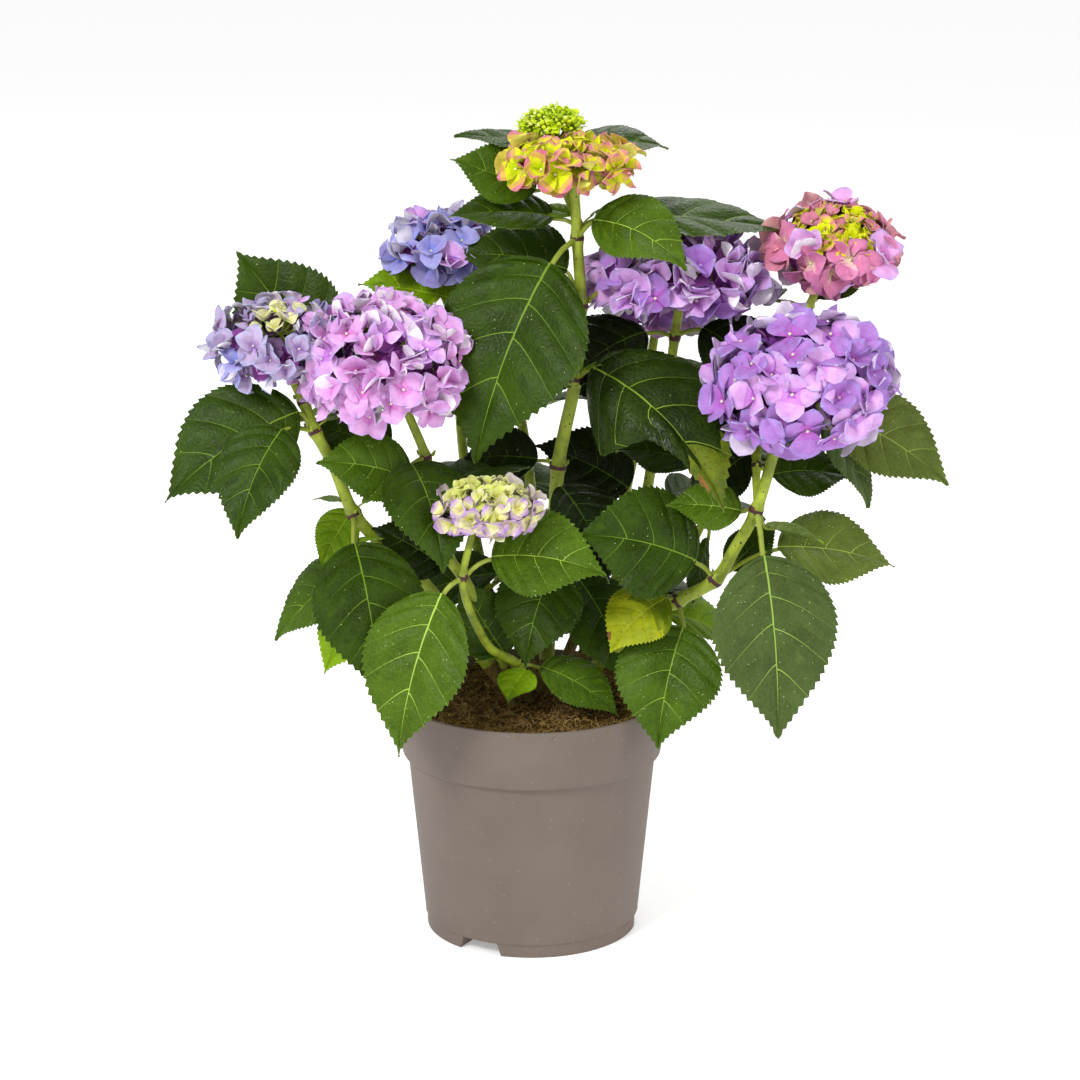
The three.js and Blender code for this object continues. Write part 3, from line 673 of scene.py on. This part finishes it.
PIECES = {
    "foliage_left": ("left", "left_inner"),
    "foliage_middle": ("centre", "top_fork", "low_front"),
    "foliage_right": ("right", "right_side", "right_inner", "violet"),
    "foliage_rear": ("back_left", "rear_left", "rear_right"),
}
BLADE_THICK = 0.45
FOLD = 14.0             # degrees that each half rises from the midrib
VEIN_SPANS = 6          # stretches of margin; each but the last has a side vein running out to it
TEETH_PER_SPAN = 4
TOOTH_DEPTH = 0.02      # as shares of the blade's width, and of its length for the next two
RIB_HALF = 0.0058
QUILT_HEIGHT = 0.03
QUILT_TOP = 0.62        # above this share of the swelling a blade has its quilted shade
# upper blade, quilted shade and vein of each look; the lower face and rib are shared
LOOKS = {
    # the deep look's near-black greens are painted shade: darker copies of the leaf greens, for leaves that
    # sit in shade
    "deep": ("#0c1302", "#172303", "#4c6a18"),
    "dark": ("#223503", "#334a06", "#6d8c22"),
    "mid": ("#344c08", "#48630f", "#8bab34"),
    # the next two looks carry a grey-blue cast in their greens: painted sheen over the leaf's own green
    "dim_painted_sheen": ("#3b4a20", "#4b5e2c", "#8fae48"),
    "pale_painted_sheen": ("#4b5a20", "#60712c", "#9cb450"),
    "fresh": ("#3a5208", "#4b6710", "#a6c64e"),
    "bright": ("#5c7c04", "#7c9e0c", "#b4d040"),
    "yellowing": ("#4d6604", "#6a7c08", "#b4c040"),
    # the next look's dark blade is partly painted shade on a leaf that folds down; its olive tip and brown
    # scorch are its own colour
    "folded": ("#172403", "#263906", "#7f9c30"),
}


def sheet(pile, grid, thick, over, under, rim):
    """A thin closed sheet from a grid of points whose rows cross columns anticlockwise seen from above."""
    rows, columns = grid.shape[:2]
    normal = np.cross(np.gradient(grid, axis=0), np.gradient(grid, axis=1))
    normal /= np.maximum(np.linalg.norm(normal, axis=2, keepdims=True), 1e-9)
    both = np.stack([grid + normal * thick / 2, grid - normal * thick / 2]).reshape(-1, 3)
    index = np.arange(rows * columns).reshape(rows, columns)
    top = np.stack([index[:-1, :-1], index[1:, :-1], index[1:, 1:], index[:-1, 1:]], 2).reshape(-1, 4)
    loop = np.concatenate([index[:, 0], index[-1, 1:], index[-2::-1, -1], index[0, -2::-1]])
    edge = np.stack([loop[1:], loop[:-1], loop[:-1] + rows * columns, loop[1:] + rows * columns], 1)
    faces = np.concatenate([top, top[:, [0, 3, 2, 1]] + rows * columns, edge])
    tones = [np.broadcast_to(over, (rows - 1, columns - 1)).ravel(),
             np.broadcast_to(under, (rows - 1, columns - 1)).ravel(), np.full(len(edge), rim)]
    pile.add(both, faces, np.concatenate(tones))


def blade_half(along):
    """Half width of a blade, as a share of its greatest, at a share of its length."""
    along = np.clip(along, 0, 1)
    return np.sin(np.pi * along ** 0.75) ** (0.75 + 0.7 * along)


def blade_rows():
    """The margin places of a blade's rows, their jut at the teeth, and the width of vein rows."""
    teeth = VEIN_SPANS * TEETH_PER_SPAN
    places, jut, widths = [0.004], [0.0], [0.0]
    for tooth in range(teeth):
        start, tip = (np.array([0.05, 0.72]) + tooth) / (teeth + 0.6)
        if tooth:
            places, jut, widths = [*places, start], [*jut, -0.35], [*widths, 0.0]
        places, jut, widths = [*places, tip], [*jut, 1.0], [*widths, 0.0]
        if tooth % TEETH_PER_SPAN == 2 and tooth < teeth - TEETH_PER_SPAN:
            places, jut, widths = [*places, tip], [*jut, 0.9], [*widths, 0.12 / teeth]
    return np.array([*places, 0.996]), np.array([*jut, 0.0]), np.array([*widths, 0.0])


ROW_PLACES, ROW_JUT, ROW_WIDTHS = blade_rows()
VEIN_ROWS = np.flatnonzero(ROW_WIDTHS) - 1
SPREAD = np.array([0.12, 0.26, 0.42, 0.6, 0.8, 1.0])


def leaf_blade(pile, base, blade, tones, fold=FOLD, curl=1.0, droop_side=0.0, fade_start=0.5):
    """One leaf blade: its rows run out along the side veins, so the veins are true faces."""
    bearing, rise, length, width, droop, roll = blade
    vein_tone, over_tone, quilt_tone, under_tone, rib_tone, tip_tone, scorch_tone, turning_tone = tones
    phase = dice.uniform(0, 2 * math.pi, 4)
    wave_high = dice.uniform(0.016, 0.034) * width
    across = np.concatenate([-SPREAD[::-1], [0, 0], SPREAD])
    side = np.concatenate([-np.ones(len(SPREAD) + 1), np.ones(len(SPREAD) + 1)])
    away = np.abs(across)[None]
    margin = ROW_PLACES[:, None] + ROW_WIDTHS[:, None] * (1 - 0.8 * away)
    margin = margin + 0.012 * side * np.sin(np.pi * ROW_PLACES)[:, None]
    origin = margin ** 1.9
    along = origin + (margin - origin) * away ** 1.25
    rib_half = RIB_HALF * length * (1.05 - 0.9 * origin) * (1 - 0.75 * away)
    tooth = ROW_JUT[:, None] * TOOTH_DEPTH * width * np.sin(np.pi * np.clip(margin, 0.04, 1)) ** 0.4
    half = blade_half(margin) * width / 2 + tooth * away ** 6
    out = side * (rib_half * (away < 0.99) + half * away ** 0.95)
    along = along + 0.6 * tooth * away ** 6 / length
    # quilting: each stretch between two veins swells up, and the veins lie in the valleys
    marks = np.array([0, *[v + 0.5 for v in VEIN_ROWS], len(ROW_PLACES) - 1])
    stretch = np.interp(np.arange(len(ROW_PLACES)), marks, np.arange(len(marks)))[:, None]
    swell = np.abs(np.sin(np.pi * stretch)) ** 0.7 * (away + 0.04) ** 0.5 * (1 - 0.65 * away ** 3)
    height = QUILT_HEIGHT * length * swell
    reach = np.abs(out)
    height = height + np.tan(np.radians(fold)) * reach * (1 - curl * 0.75 * reach / (width / 2))
    height = height + wave_high * away ** 2 * np.sin(7.5 * along * (1 + 0.12 * side) + phase[0] + side)
    lobe = np.exp(-((along - 0.22) / 0.2) ** 2) * np.maximum(-side, 0)
    height = height - droop_side * lobe * away ** 1.5 * width / 2
    out = out * (1 - 0.35 * droop_side * lobe * away ** 2)
    tucked = droop_side * np.maximum(-side, 0) * np.clip((along - 0.36) / 0.12, 0, 1)
    out = out * (1 - 0.6 * tucked * np.clip((1 - along) / 0.3, 0, 1))
    bend = np.radians(droop) * along
    share = np.sinc(bend / 2 / np.pi)
    spine = base + heading(bearing, rise - droop * along / 2) * (length * along * share)[..., None]
    pitch = rise - droop * along
    turn = np.radians(roll + 10 * np.sin(phase[1]) * (along - 0.3))[..., None]
    left = heading(bearing + 90, np.zeros_like(along))
    upright = heading(bearing, pitch + 90)
    sideways = left * np.cos(turn) + upright * np.sin(turn)
    normal = upright * np.cos(turn) - left * np.sin(turn)
    grid = spine + sideways * out[..., None] + normal * height[..., None]
    shape = (grid.shape[0] - 1, grid.shape[1] - 1)
    over = np.full(shape, over_tone)
    over[(swell[:-1, :-1] + swell[1:, 1:]) / 2 > QUILT_TOP] = quilt_tone
    if tip_tone is not None:
        fade = ROW_PLACES[:-1, None] + 0.05 * (side[None, :-1] > 0) + 0.08 * (away[:, :-1] > 0.7)
        over[fade > fade_start - 0.1] = turning_tone
        over[fade > fade_start] = tip_tone
        over[-8:-5, :1] = scorch_tone
    under = np.full(shape, under_tone)
    rib = len(SPREAD)
    over[:, rib] = vein_tone
    under[:, rib] = rib_tone
    over[VEIN_ROWS] = vein_tone
    under[VEIN_ROWS] = rib_tone
    sheet(pile, grid, BLADE_THICK, over, under, under_tone)


def leaf_stalk(pile, centre, base, blade, thick):
    """A petiole that leaves its joint, bends into the blade and fades out under its rib."""
    into = heading(blade[0], blade[1])
    reach = np.linalg.norm(base - centre)
    middle = centre + (base - centre) * 0.55 + (0, 0, 0.05 * reach)
    knots = [centre, middle, base, base + into * blade[2] * 0.16]
    path, places = smooth_route(knots, max(2.0, reach / 7))
    below = heading(blade[0], blade[1] + 90) * thick * 0.8
    path = path - below * np.clip(places - 1, 0, 1)[:, None]
    radii = thick * np.interp(places, [0, 0.35, 2, 3], [1.3, 0.95, 0.85, 0.3])
    tube(pile, path, radii, 8, 0)


leaf_under = surface("leaf_under", "#5c6f30", "#768a45", 60.0, (0.55, 0.7), 230.0, 0.35, 0.25,
                     veined="#9fb060")
leaf_rib = surface("leaf_rib", "#93a84f", "#b2c56c", 60.0, (0.45, 0.6), 900.0, 0.1, 0.35)
leaf_scorch = surface("leaf_scorch", "#6a4420", "#946a34", 110.0, (0.6, 0.8), 600.0, 0.3, 0.2)
leaf_yellow = surface("leaf_yellow", "#7e8c04", "#aab00a", 50.0, (0.5, 0.65), 170.0, 0.3, 0.2,
                      ("#6b4a1c", 300.0, 0.2, 0.12), veined="#d6d860")
leaf_olive = surface("leaf_olive", "#46580a", "#6c7a10", 60.0, (0.45, 0.6), 230.0, 0.26, 0.2,
                     ("#5c3f16", 420.0, 0.3, 0.3), veined="#a4b040")
leaf_turning = surface("leaf_turning", "#586a06", "#7c880a", 55.0, (0.5, 0.65), 200.0, 0.28, 0.2,
                       ("#6b4a1c", 340.0, 0.2, 0.12), veined="#c2c848")
leaf_paints = [leaf_under, leaf_rib, leaf_scorch, leaf_yellow, leaf_olive, leaf_turning]
UNDER, RIB, SCORCH, YELLOW, OLIVE, TURNING = range(6)
FADED = {"yellowing": (YELLOW, SCORCH, TURNING), "folded": (OLIVE, SCORCH, OLIVE)}
leaf_tones = {}
for look, (dark, light, vein) in LOOKS.items():
    speckle = ("#b9c280", 340.0, 0.13, 0.05 if look in ("deep", "dark", "folded") else 0.2)
    gloss, shine = ((0.28, 0.4), 0.13) if look in ("deep", "folded") else ((0.36, 0.5), 0.12)
    first = len(leaf_paints)
    leaf_paints += [
        surface(f"leaf_{look}_vein", vein, vein, 60.0, (0.5, 0.65), 900.0, 0.1, 0.2),
        surface(f"leaf_{look}", dark, light, 32.0, gloss, 230.0, 0.26, shine, speckle, veined=vein),
        surface(f"leaf_{look}_quilt", light, dark, 48.0, gloss, 230.0, 0.26, shine, speckle, veined=vein),
    ]
    leaf_tones[look] = (first, first + 1, first + 2, UNDER, RIB, *FADED.get(look, (None, None, None)))

# young side shoots in the leaf axils, a pair of small leaves each: chance, lengths and look
FRONT_SHOOTS = (0.6, (18, 34), "bright")
REAR_SHOOTS = (0.95, (44, 70), "mid")
stalks = Pile()
for piece_name, piece_canes in PIECES.items():
    blades, nodes = Pile(), []
    chance, shoot_lengths, shoot_look = REAR_SHOOTS if piece_name == "foliage_rear" else FRONT_SHOOTS
    for node, (cane, joint, leaves) in FOLIAGE.items():
        if cane not in piece_canes:
            continue
        nodes.append(node)
        joints = CANES[cane][2]
        centre = np.array(joints[joint], float)
        for (reach, bearing, rise), blade, look in leaves:
            base = centre + heading(bearing, rise) * reach
            fold = dice.uniform(8, 18)
            folded = look == "folded"
            leaf_blade(blades, base, blade, leaf_tones[look], fold, dice.uniform(0.6, 1.3),
                       1.0 if folded else 0.0, 0.92 if folded else 0.5)
            leaf_stalk(stalks, centre, base, blade, 1.3 + blade[2] * 0.008)
        if joint < len(joints) - 2 and dice.uniform() < chance:
            bearing = dice.uniform(0, 360)
            for turn in (0, 180):
                base = centre + heading(bearing + turn, 50) * dice.uniform(9, 14)
                long = dice.uniform(*shoot_lengths)
                small = (bearing + turn, dice.uniform(10, 40), long, long * dice.uniform(0.6, 0.72),
                         dice.uniform(20, 50), dice.uniform(-20, 20))
                leaf_blade(blades, base, small, leaf_tones[shoot_look])
                leaf_stalk(stalks, centre, base, small, 0.9)
    blades.piece(piece_name, leaf_paints, "leaf", nodes, crease=60)
stalks.piece("leaf_stalks", [stalk_green], "cane")


# ---- The flower heads -----------------------------------------------------------------------
# Domes of sterile florets, each of four broad papery sepals round a pale bead on a thin stalk.
# They open lime green, turn pink, lilac or blue from the margin inwards, and are pale beneath.

# heart, face, margin, underside and bead of each kind of floret
TONES = {
    "lilac": ("#be66c6", "#b685d2", "#aa98dc", "#f4eefa", "#ecebd4"),
    "orchid": ("#da7ccc", "#e6b0e4", "#d4b6ea", "#fef8fe", "#f6f0d8"),
    "violet": ("#c474d8", "#e2b2ec", "#cebcf0", "#fefcfe", "#eae5d0"),
    "dusk": ("#8f9ce4", "#a8a8e2", "#b4baec", "#f8f8fe", "#eaeaa8"),
    "slate": ("#b08ecc", "#c0b0d0", "#acb6d8", "#f2f4f4", "#e6e8d0"),
    "pink": ("#f2e2ba", "#e48cb4", "#d08ab0", "#dca8a4", "#eeeabc"),
    "rose": ("#e6a8ac", "#dc8ea2", "#ca8092", "#d8a8a2", "#eeeabc"),
    "cream": ("#d2da50", "#eceea4", "#e4e8c4", "#e6eab4", "#e8ec9c"),
    "cream_green": ("#c2d236", "#dde878", "#e2eaa0", "#e0e8a0", "#e4ea90"),
    "cream_lilac": ("#dce058", "#eeeeb0", "#bf9cd8", "#e6e2d4", "#e8ea9c"),
    "lime": ("#b4cc02", "#e2f00c", "#ecf048", "#e2ec3c", "#eef2a8"),
    "lime_blush": ("#b8ce04", "#e4ee2c", "#e4929c", "#e6e46c", "#eef0b0"),
    "lime_rose": ("#b0ca04", "#dcec20", "#dc8492", "#e4e058", "#eef0b0"),
}
# centre, (half width, half depth, height above, below), cane, floret size, how far the florets
# are packed, turned up and ruffled, tones, then the crown's start, floret size, tones and lean
HEADS = {
    "bloom_top_young": ((31, -10, 652), (55, 48, 27, 20), "centre", 32, (0.40, 0.6, 0.7),
                        ("lime_blush", "lime_blush", "lime_rose"),
                        (0.45, 22, ("lime", "lime", "lime_blush"), 0)),
    "bloom_left_outer": ((-206, -44, 512), (55, 50, 44, 36), "left", 33, (0.4, 0.9, 1.0),
                         ("slate", "slate", "slate", "violet", "dusk"), (0.78, 22, ("cream", "slate"), 24)),
    "bloom_left_inner": ((-120, -54, 496), (71, 62, 62, 58), "left_inner", 37, (0.47, 0.9, 1.1),
                         ("orchid", "orchid", "orchid", "violet"), None),
    "bloom_back_left": ((-72, 62, 568), (49, 46, 33, 26), "back_left", 37, (0.38, 0.7, 0.9),
                        ("dusk", "dusk", "dusk", "violet"), None),
    "bloom_violet": ((120, 24, 553), (80, 64, 45, 42), "violet", 42, (0.46, 1.2, 1.2),
                     ("violet", "violet", "violet", "lilac"), None),
    "bloom_far_right": ((246, 10, 580), (54, 50, 44, 34), "right_side", 40, (0.46, 0.25, 0.5),
                        ("pink", "pink", "rose", "orchid"), (0.58, 18, ("lime", "lime_blush", "rose"), 30)),
    "bloom_lavender": ((215, -64, 481), (77, 68, 66, 60), "right", 45, (0.44, 0.14, 0.6),
                       ("lilac", "lilac", "lilac", "violet"), None),
    "bloom_low_front": ((-36, -90, 388), (43, 38, 28, 22), "low_front", 27, (0.36, 0.35, 0.5),
                        ("cream_lilac", "cream_lilac", "cream"), (0.1, 17, ("cream", "cream_green"), 10)),
    "bloom_rear_left": ((-60, 148, 506), (54, 48, 40, 34), "rear_left", 35, (0.42, 0.5, 0.6),
                        ("dusk", "violet", "lilac"), None),
    "bloom_rear_right": ((110, 148, 508), (52, 48, 38, 32), "rear_right", 35, (0.42, 0.5, 0.6),
                         ("orchid", "lilac"), None),
}
SEPAL_ROWS = np.array([0.0, 0.13, 0.32, 0.56, 0.79, 0.93, 1.0])
SEPAL_HALF = np.array([0.12, 0.5, 0.88, 1.0, 0.74, 0.36, 0.04])
SEPAL_COLUMNS = np.array([-1, -0.62, 0, 0.62, 1])
# bands of colour from heart to margin; a tipped sepal changes colour only in its outer half
SEPAL_BANDS = np.array([(0, 0, 0, 0), (1, 1, 1, 1), (2, 2, 2, 2), (3, 2, 2, 3), (3, 3, 3, 3), (4, 4, 4, 4)])
TIPPED_BANDS = np.array([(0, 0, 0, 0), (1, 1, 1, 1), (2, 2, 2, 2), (3, 3, 3, 3), (4, 4, 4, 4), (4, 4, 4, 4)])
TIPPED = ("lime_blush", "lime_rose", "cream_lilac")
# how much of its green each coloured kind keeps in the shade of the dome
SHADED_GREEN = {"lilac": 0.64, "orchid": 0.64, "violet": 0.68, "dusk": 0.88, "slate": 0.86}
MARGIN_TONE, UNDER_TONE, BEAD_TONE = 4, 5, 6
SEPAL_THICK = 0.35
FLORET_COVER = 0.168    # how much of its size squared a floret covers
UNDER_SHARE = 0.5       # florets beneath the outer dome, for each one in it
UNDER_DEPTH = 0.72      # how far out they sit, and their size, as shares of the outer ones'
UNDER_SIZE = 0.85
CROWN_DEPTH = 0.78
CROWN_PACKING = 0.9
RAYS = 9                # branches from the tip of a cane into its flower head


def halfway(first, second):
    """The colour between two that are written as '#rrggbb'."""
    pairs = [(int(first[i:i + 2], 16) + int(second[i:i + 2], 16)) // 2 for i in (1, 3, 5)]
    return "#%02x%02x%02x" % tuple(pairs)


def darker(colour, share, green=1.0):
    """A colour at a share of its strength, with its green at a further share."""
    parts = [int(colour[i:i + 2], 16) * share for i in (1, 3, 5)]
    return "#%02x%02x%02x" % (int(parts[0]), int(parts[1] * green), int(parts[2]))


def floret_paints(kinds):
    """The papery paints of some kinds of floret, "_shaded" ones darker and richer as painted shade, and
    where each kind's begin.
    """
    paints, first = [], {}
    for kind in dict.fromkeys(kinds):
        plain_kind = kind.removesuffix("_shaded")
        depth, green = (1, 1)
        if plain_kind != kind:
            green = SHADED_GREEN.get(plain_kind, 1)
            depth = 0.68 if plain_kind in SHADED_GREEN else 0.84
        tones = TONES[plain_kind]
        heart, face, margin, under, bead = [darker(tone, depth, green) for tone in tones]
        first[kind] = len(paints)
        bands = (heart, halfway(heart, face), face, halfway(face, margin), margin, under, bead)
        for number, shade in enumerate(bands):
            paint = f"sepal_{kind}_{number}"
            if paint not in bpy.data.materials:
                surface(paint, darker(shade, 0.86, 0.94), shade, 90.0, (0.7, 0.85), 800.0, 0.1, 0.1)
            paints.append(bpy.data.materials[paint])
    return paints, first


def floret(pile, place, outward, size, cup, ruffle, first, bands):
    """One floret: two lower and two upper sepals, cupped, folded and curled, and its bead."""
    side = unit(np.cross(outward, (0.31, 0.22, 0.9)))
    spin = dice.uniform(0, 360)
    u, v = SEPAL_ROWS[:, None], SEPAL_COLUMNS[None]
    for number in range(4):
        turn = math.radians(spin + 90 * number + dice.normal(0, 6))
        ahead = side * math.cos(turn) + np.cross(outward, side) * math.sin(turn)
        left = np.cross(outward, ahead)
        length = size / 2 * dice.uniform(0.88, 1.12)
        half = SEPAL_HALF[:, None] * length * dice.uniform(0.52, 0.64)
        half = half * (1 + 0.07 * np.sin(8 * u + dice.uniform(0, 6) + 2 * v))
        rise = cup + dice.normal(0, 10 + 16 * ruffle)
        bend = dice.normal(28, 14 + 20 * ruffle)
        fold = math.radians(dice.normal(0, 12 + 22 * ruffle))
        twist = np.radians(dice.normal(0, 8 + 14 * ruffle)) * u
        middle, pitch = np.radians(rise - bend * u / 2), np.radians(rise - bend * u)
        out = v * half * math.cos(fold)
        high = np.abs(v) * half * math.sin(fold) + dice.normal(0.02, 0.12) * half * v ** 2
        high = high + length * 0.06 * np.sin(5 * u + 3.6 * v + dice.uniform(0, 6)) * (u + np.abs(v)) / 2
        out, high = out * np.cos(twist) - high * np.sin(twist), out * np.sin(twist) + high * np.cos(twist)
        reach = length * u * np.cos(middle) - high * np.sin(pitch) + 0.6
        lift = length * u * np.sin(middle) + high * np.cos(pitch) + (0.9 if number % 2 else 0)
        grid = place + reach[..., None] * ahead + out[..., None] * left + lift[..., None] * outward
        sheet(pile, grid, SEPAL_THICK, bands + first, first + UNDER_TONE, first + MARGIN_TONE)
    lump(pile, place + outward * (1.6 + 0.01 * size), 0.9 + 0.018 * size, first + BEAD_TONE, 0.95, 0.06)


def spread(count, lowest, highest):
    """Evenly spaced directions between two heights on a unit sphere."""
    height = highest - (np.arange(count) + 0.5) * (highest - lowest) / count
    angle = np.arange(count) * math.pi * (3 - 5 ** 0.5) + dice.uniform(0, 6)
    across = np.sqrt(1 - height ** 2)
    return np.stack([across * np.cos(angle), across * np.sin(angle), height], 1)


def dome_area(size, lowest, highest):
    wide, deep, above, below = size
    return 2 * math.pi * ((wide + deep + (above + below) / 2) / 3) ** 2 * (highest - lowest)


flower_stalks = Pile()
for head, (centre, size, cane, large, (packing, upturn, unrest), kinds, crown) in HEADS.items():
    florets = Pile()
    start, small, crown_kinds, lean = crown or (1.0, large, (), 0)
    # florets beneath the outer dome take the darker "_shaded" paints: painted shade between the florets
    shaded = tuple(f"{kind}_shaded" for kind in kinds)
    paints, first = floret_paints((*kinds, *shaded, *crown_kinds))
    centre, cane_tip = np.array(centre, float), np.array(CANES[cane][2][-1], float)
    top = min(0.62, start + 0.3) if crown else 1.0
    lowest = -0.76 - 0.3 * math.sin(math.radians(lean))
    count = round(dome_area(size, lowest, top) * packing / FLORET_COVER / large ** 2)
    # direction, how far out, size and kinds of the florets: outer dome, those beneath it, the crown
    plan = [(direction, 1.0, large, kinds) for direction in spread(count, lowest, top)]
    beneath = spread(round(count * UNDER_SHARE), -0.5, top)
    plan += [(direction, UNDER_DEPTH, large * UNDER_SIZE, shaded) for direction in beneath]
    if crown:
        count = round(dome_area(size, start, 1) * CROWN_PACKING * packing / FLORET_COVER / small ** 2)
        plan += [(direction, CROWN_DEPTH, small, crown_kinds) for direction in spread(count, start, 1)]
    rays = []
    for direction in spread(RAYS, -0.25, 1):
        ray = centre + direction * np.array([*size[:2], size[2]]) * 0.42
        rays.append(ray)
        bow = (cane_tip + ray) / 2 + direction * (5, 5, 0)
        path, _ = smooth_route([cane_tip, bow, ray], 6)
        tube(flower_stalks, path, np.linspace(2.0, 1.1, len(path)), 6, 0)
    sine, cosine = math.sin(math.radians(lean)), math.cos(math.radians(lean))
    for (x, y, z), depth, across, choice in plan:
        direction = np.array([x, y * cosine - z * sine, y * sine + z * cosine])
        direction = unit(direction + dice.normal(0, 0.06, 3))
        reach = np.array([*size[:2], size[2] if direction[2] > 0 else size[3]])
        outward = unit(direction / reach)
        across = across * dice.uniform(0.8, 1.12)
        ruffle = unrest * dice.uniform(0.2, 1.2)
        inset = (0.2 + 0.12 * ruffle) * across
        place = centre + direction * (reach - inset) * depth * dice.uniform(0.93, 1.02)
        facing = outward + (0, 0, upturn * dice.uniform(0, 1.3)) + dice.normal(0, 0.12 + 0.22 * ruffle, 3)
        facing = unit(facing)
        cup = dice.uniform(8, 30) + (30 + 16 * upturn) * ruffle + (16 if across < 20 else 0)
        kind = choice[dice.integers(len(choice))]
        bands = TIPPED_BANDS if kind.removesuffix("_shaded") in TIPPED else SEPAL_BANDS
        floret(florets, place, facing, across, cup, ruffle, first[kind], bands)
        ray = min(rays, key=lambda r: np.linalg.norm(r - place))
        path, _ = smooth_route([ray, (ray + place) / 2 - (0, 0, 2), place + facing], 8)
        tube(flower_stalks, path, 0.75, 4, 0)
    florets.piece(head.replace("bloom", "flowers"), paints, "blossom", [head], crease=60)

# the uppermost head is still in bud: clusters of green beads, with a few leaf-like sepals
BUD_KNOTS = 13
BUD_CLUSTER = 30
SEPAL_CHANCE = 0.4
bud_green = surface("bud_green", "#b0cc06", "#dcee14", 260.0, (0.45, 0.6), 900.0, 0.2, 0.35)
bud_light = surface("bud_light", "#dcea50", "#f2f6a0", 260.0, (0.45, 0.6), 900.0, 0.2, 0.35)
bud_dark = surface("bud_dark", "#8aaa06", "#b2cc0c", 260.0, (0.5, 0.65), 900.0, 0.2, 0.3)
buds = Pile()
BUD_CENTRE, BUD_SIZE = np.array([16.0, 32.0, 674.0]), np.array([27.0, 24.0, 15.0])
bud_tip = np.array(CANES["top_fork"][2][-1], float)
for direction in spread(BUD_KNOTS, -0.1, 1):
    knot = BUD_CENTRE + direction * BUD_SIZE * 0.72 + dice.normal(0, 1, 3)
    path, _ = smooth_route([bud_tip, (bud_tip + knot) / 2 + direction * (2, 2, 0), knot], 5)
    tube(flower_stalks, path, np.linspace(1.8, 1.0, len(path)), 6, 0)
    for offset in spread(BUD_CLUSTER, -0.75, 1):
        place = knot + offset * dice.uniform(5, 8.5)
        lump(buds, place, dice.uniform(1.3, 2.5), dice.choice([0, 1, 2], p=[0.5, 0.18, 0.32]), 0.9, 0.12)
        tube(flower_stalks, [knot, (knot + place) / 2 + (0, 0, 0.4), place], 0.45, 4, 0)
        if dice.uniform() < SEPAL_CHANCE:
            ahead = unit(offset + (0, 0, 0.5) + dice.normal(0, 0.4, 3))
            left = unit(np.cross(ahead, (0.3, 0.1, 0.9)))
            length = dice.uniform(3.5, 6)
            u, v = SEPAL_ROWS[:, None], SEPAL_COLUMNS[None]
            bowl = np.cross(ahead, left) * (length * (0.3 * u ** 2 + 0.1 * v ** 2))[..., None]
            blade = place + ahead * (length * (u + 0 * v))[..., None]
            blade = blade + left * (SEPAL_HALF[:, None] * v * length * 0.55)[..., None] + bowl
            sheet(buds, blade, SEPAL_THICK, dice.choice([0, 1]), 0, 0)
buds.piece("flowers_top_green", [bud_green, bud_light, bud_dark], "blossom", ["bloom_top_green"], crease=60)
flower_stalks.piece("flower_stalks", [stalk_green], "cane")


# ---- Floor, light and camera ----------------------------------------------------------------
# A wide pale floor under soft studio light: an even white surround, one broad key light from
# the front left, weaker ones from the right and behind, and a long lens that looks down a little.
FLOOR_HALF = 60
CAMERA_PLACE = (0.007, -2.886, 1.154)
CAMERA_DROP = 15.83
LENS = 120.7


def broad_light(name, place, aim, size, power):
    lamp = bpy.data.lights.new(name, "AREA")
    lamp.shape, lamp.size, lamp.energy = "DISK", size, power
    made = bpy.data.objects.new(name, lamp)
    bpy.context.collection.objects.link(made)
    made.location = place
    made.rotation_euler = (made.location - type(made.location)(aim)).to_track_quat("Z", "Y").to_euler()


floor_mesh = bpy.data.meshes.new("floor")
corners = [(x * FLOOR_HALF, y * FLOOR_HALF, 0) for x, y in ((-1, -1), (1, -1), (1, 1), (-1, 1))]
floor_mesh.from_pydata(corners, [], [(0, 1, 2, 3)])
floor = bpy.data.objects.new("floor", floor_mesh)
bpy.context.collection.objects.link(floor)
floor_paint = bpy.data.materials.new("floor_paint")
floor_paint.use_nodes = True
floor_shader = floor_paint.node_tree.nodes["Principled BSDF"]
floor_shader.inputs["Base Color"].default_value = (0.9, 0.9, 0.9, 1)
floor_shader.inputs["Roughness"].default_value = 0.9
floor_shader.inputs["Emission Color"].default_value = (1, 1, 1, 1)
floor_shader.inputs["Emission Strength"].default_value = 0.3
floor_mesh.materials.append(floor_paint)

world = bpy.data.worlds.new("studio")
bpy.context.scene.world = world
world.use_nodes = True
world.node_tree.nodes["Background"].inputs["Color"].default_value = (1, 1, 1, 1)
world.node_tree.nodes["Background"].inputs["Strength"].default_value = 0.7
broad_light("key", (-1.6, -2.2, 2.6), (0, 0, 0.4), 1.1, 80)
broad_light("fill", (2.2, -1.8, 1.4), (0, 0, 0.4), 1.6, 20)
broad_light("rim", (0.6, 2.2, 2.4), (0, 0, 0.4), 1.4, 30)
bpy.context.scene.view_settings.view_transform = "Standard"

camera_data = bpy.data.cameras.new("camera")
camera_data.lens, camera_data.sensor_width, camera_data.clip_end = LENS, 36.0, 200.0
camera = bpy.data.objects.new("camera", camera_data)
bpy.context.collection.objects.link(camera)
camera.location = CAMERA_PLACE
camera.rotation_euler = (math.radians(90 - CAMERA_DROP), 0, 0)
bpy.context.scene.camera = camera
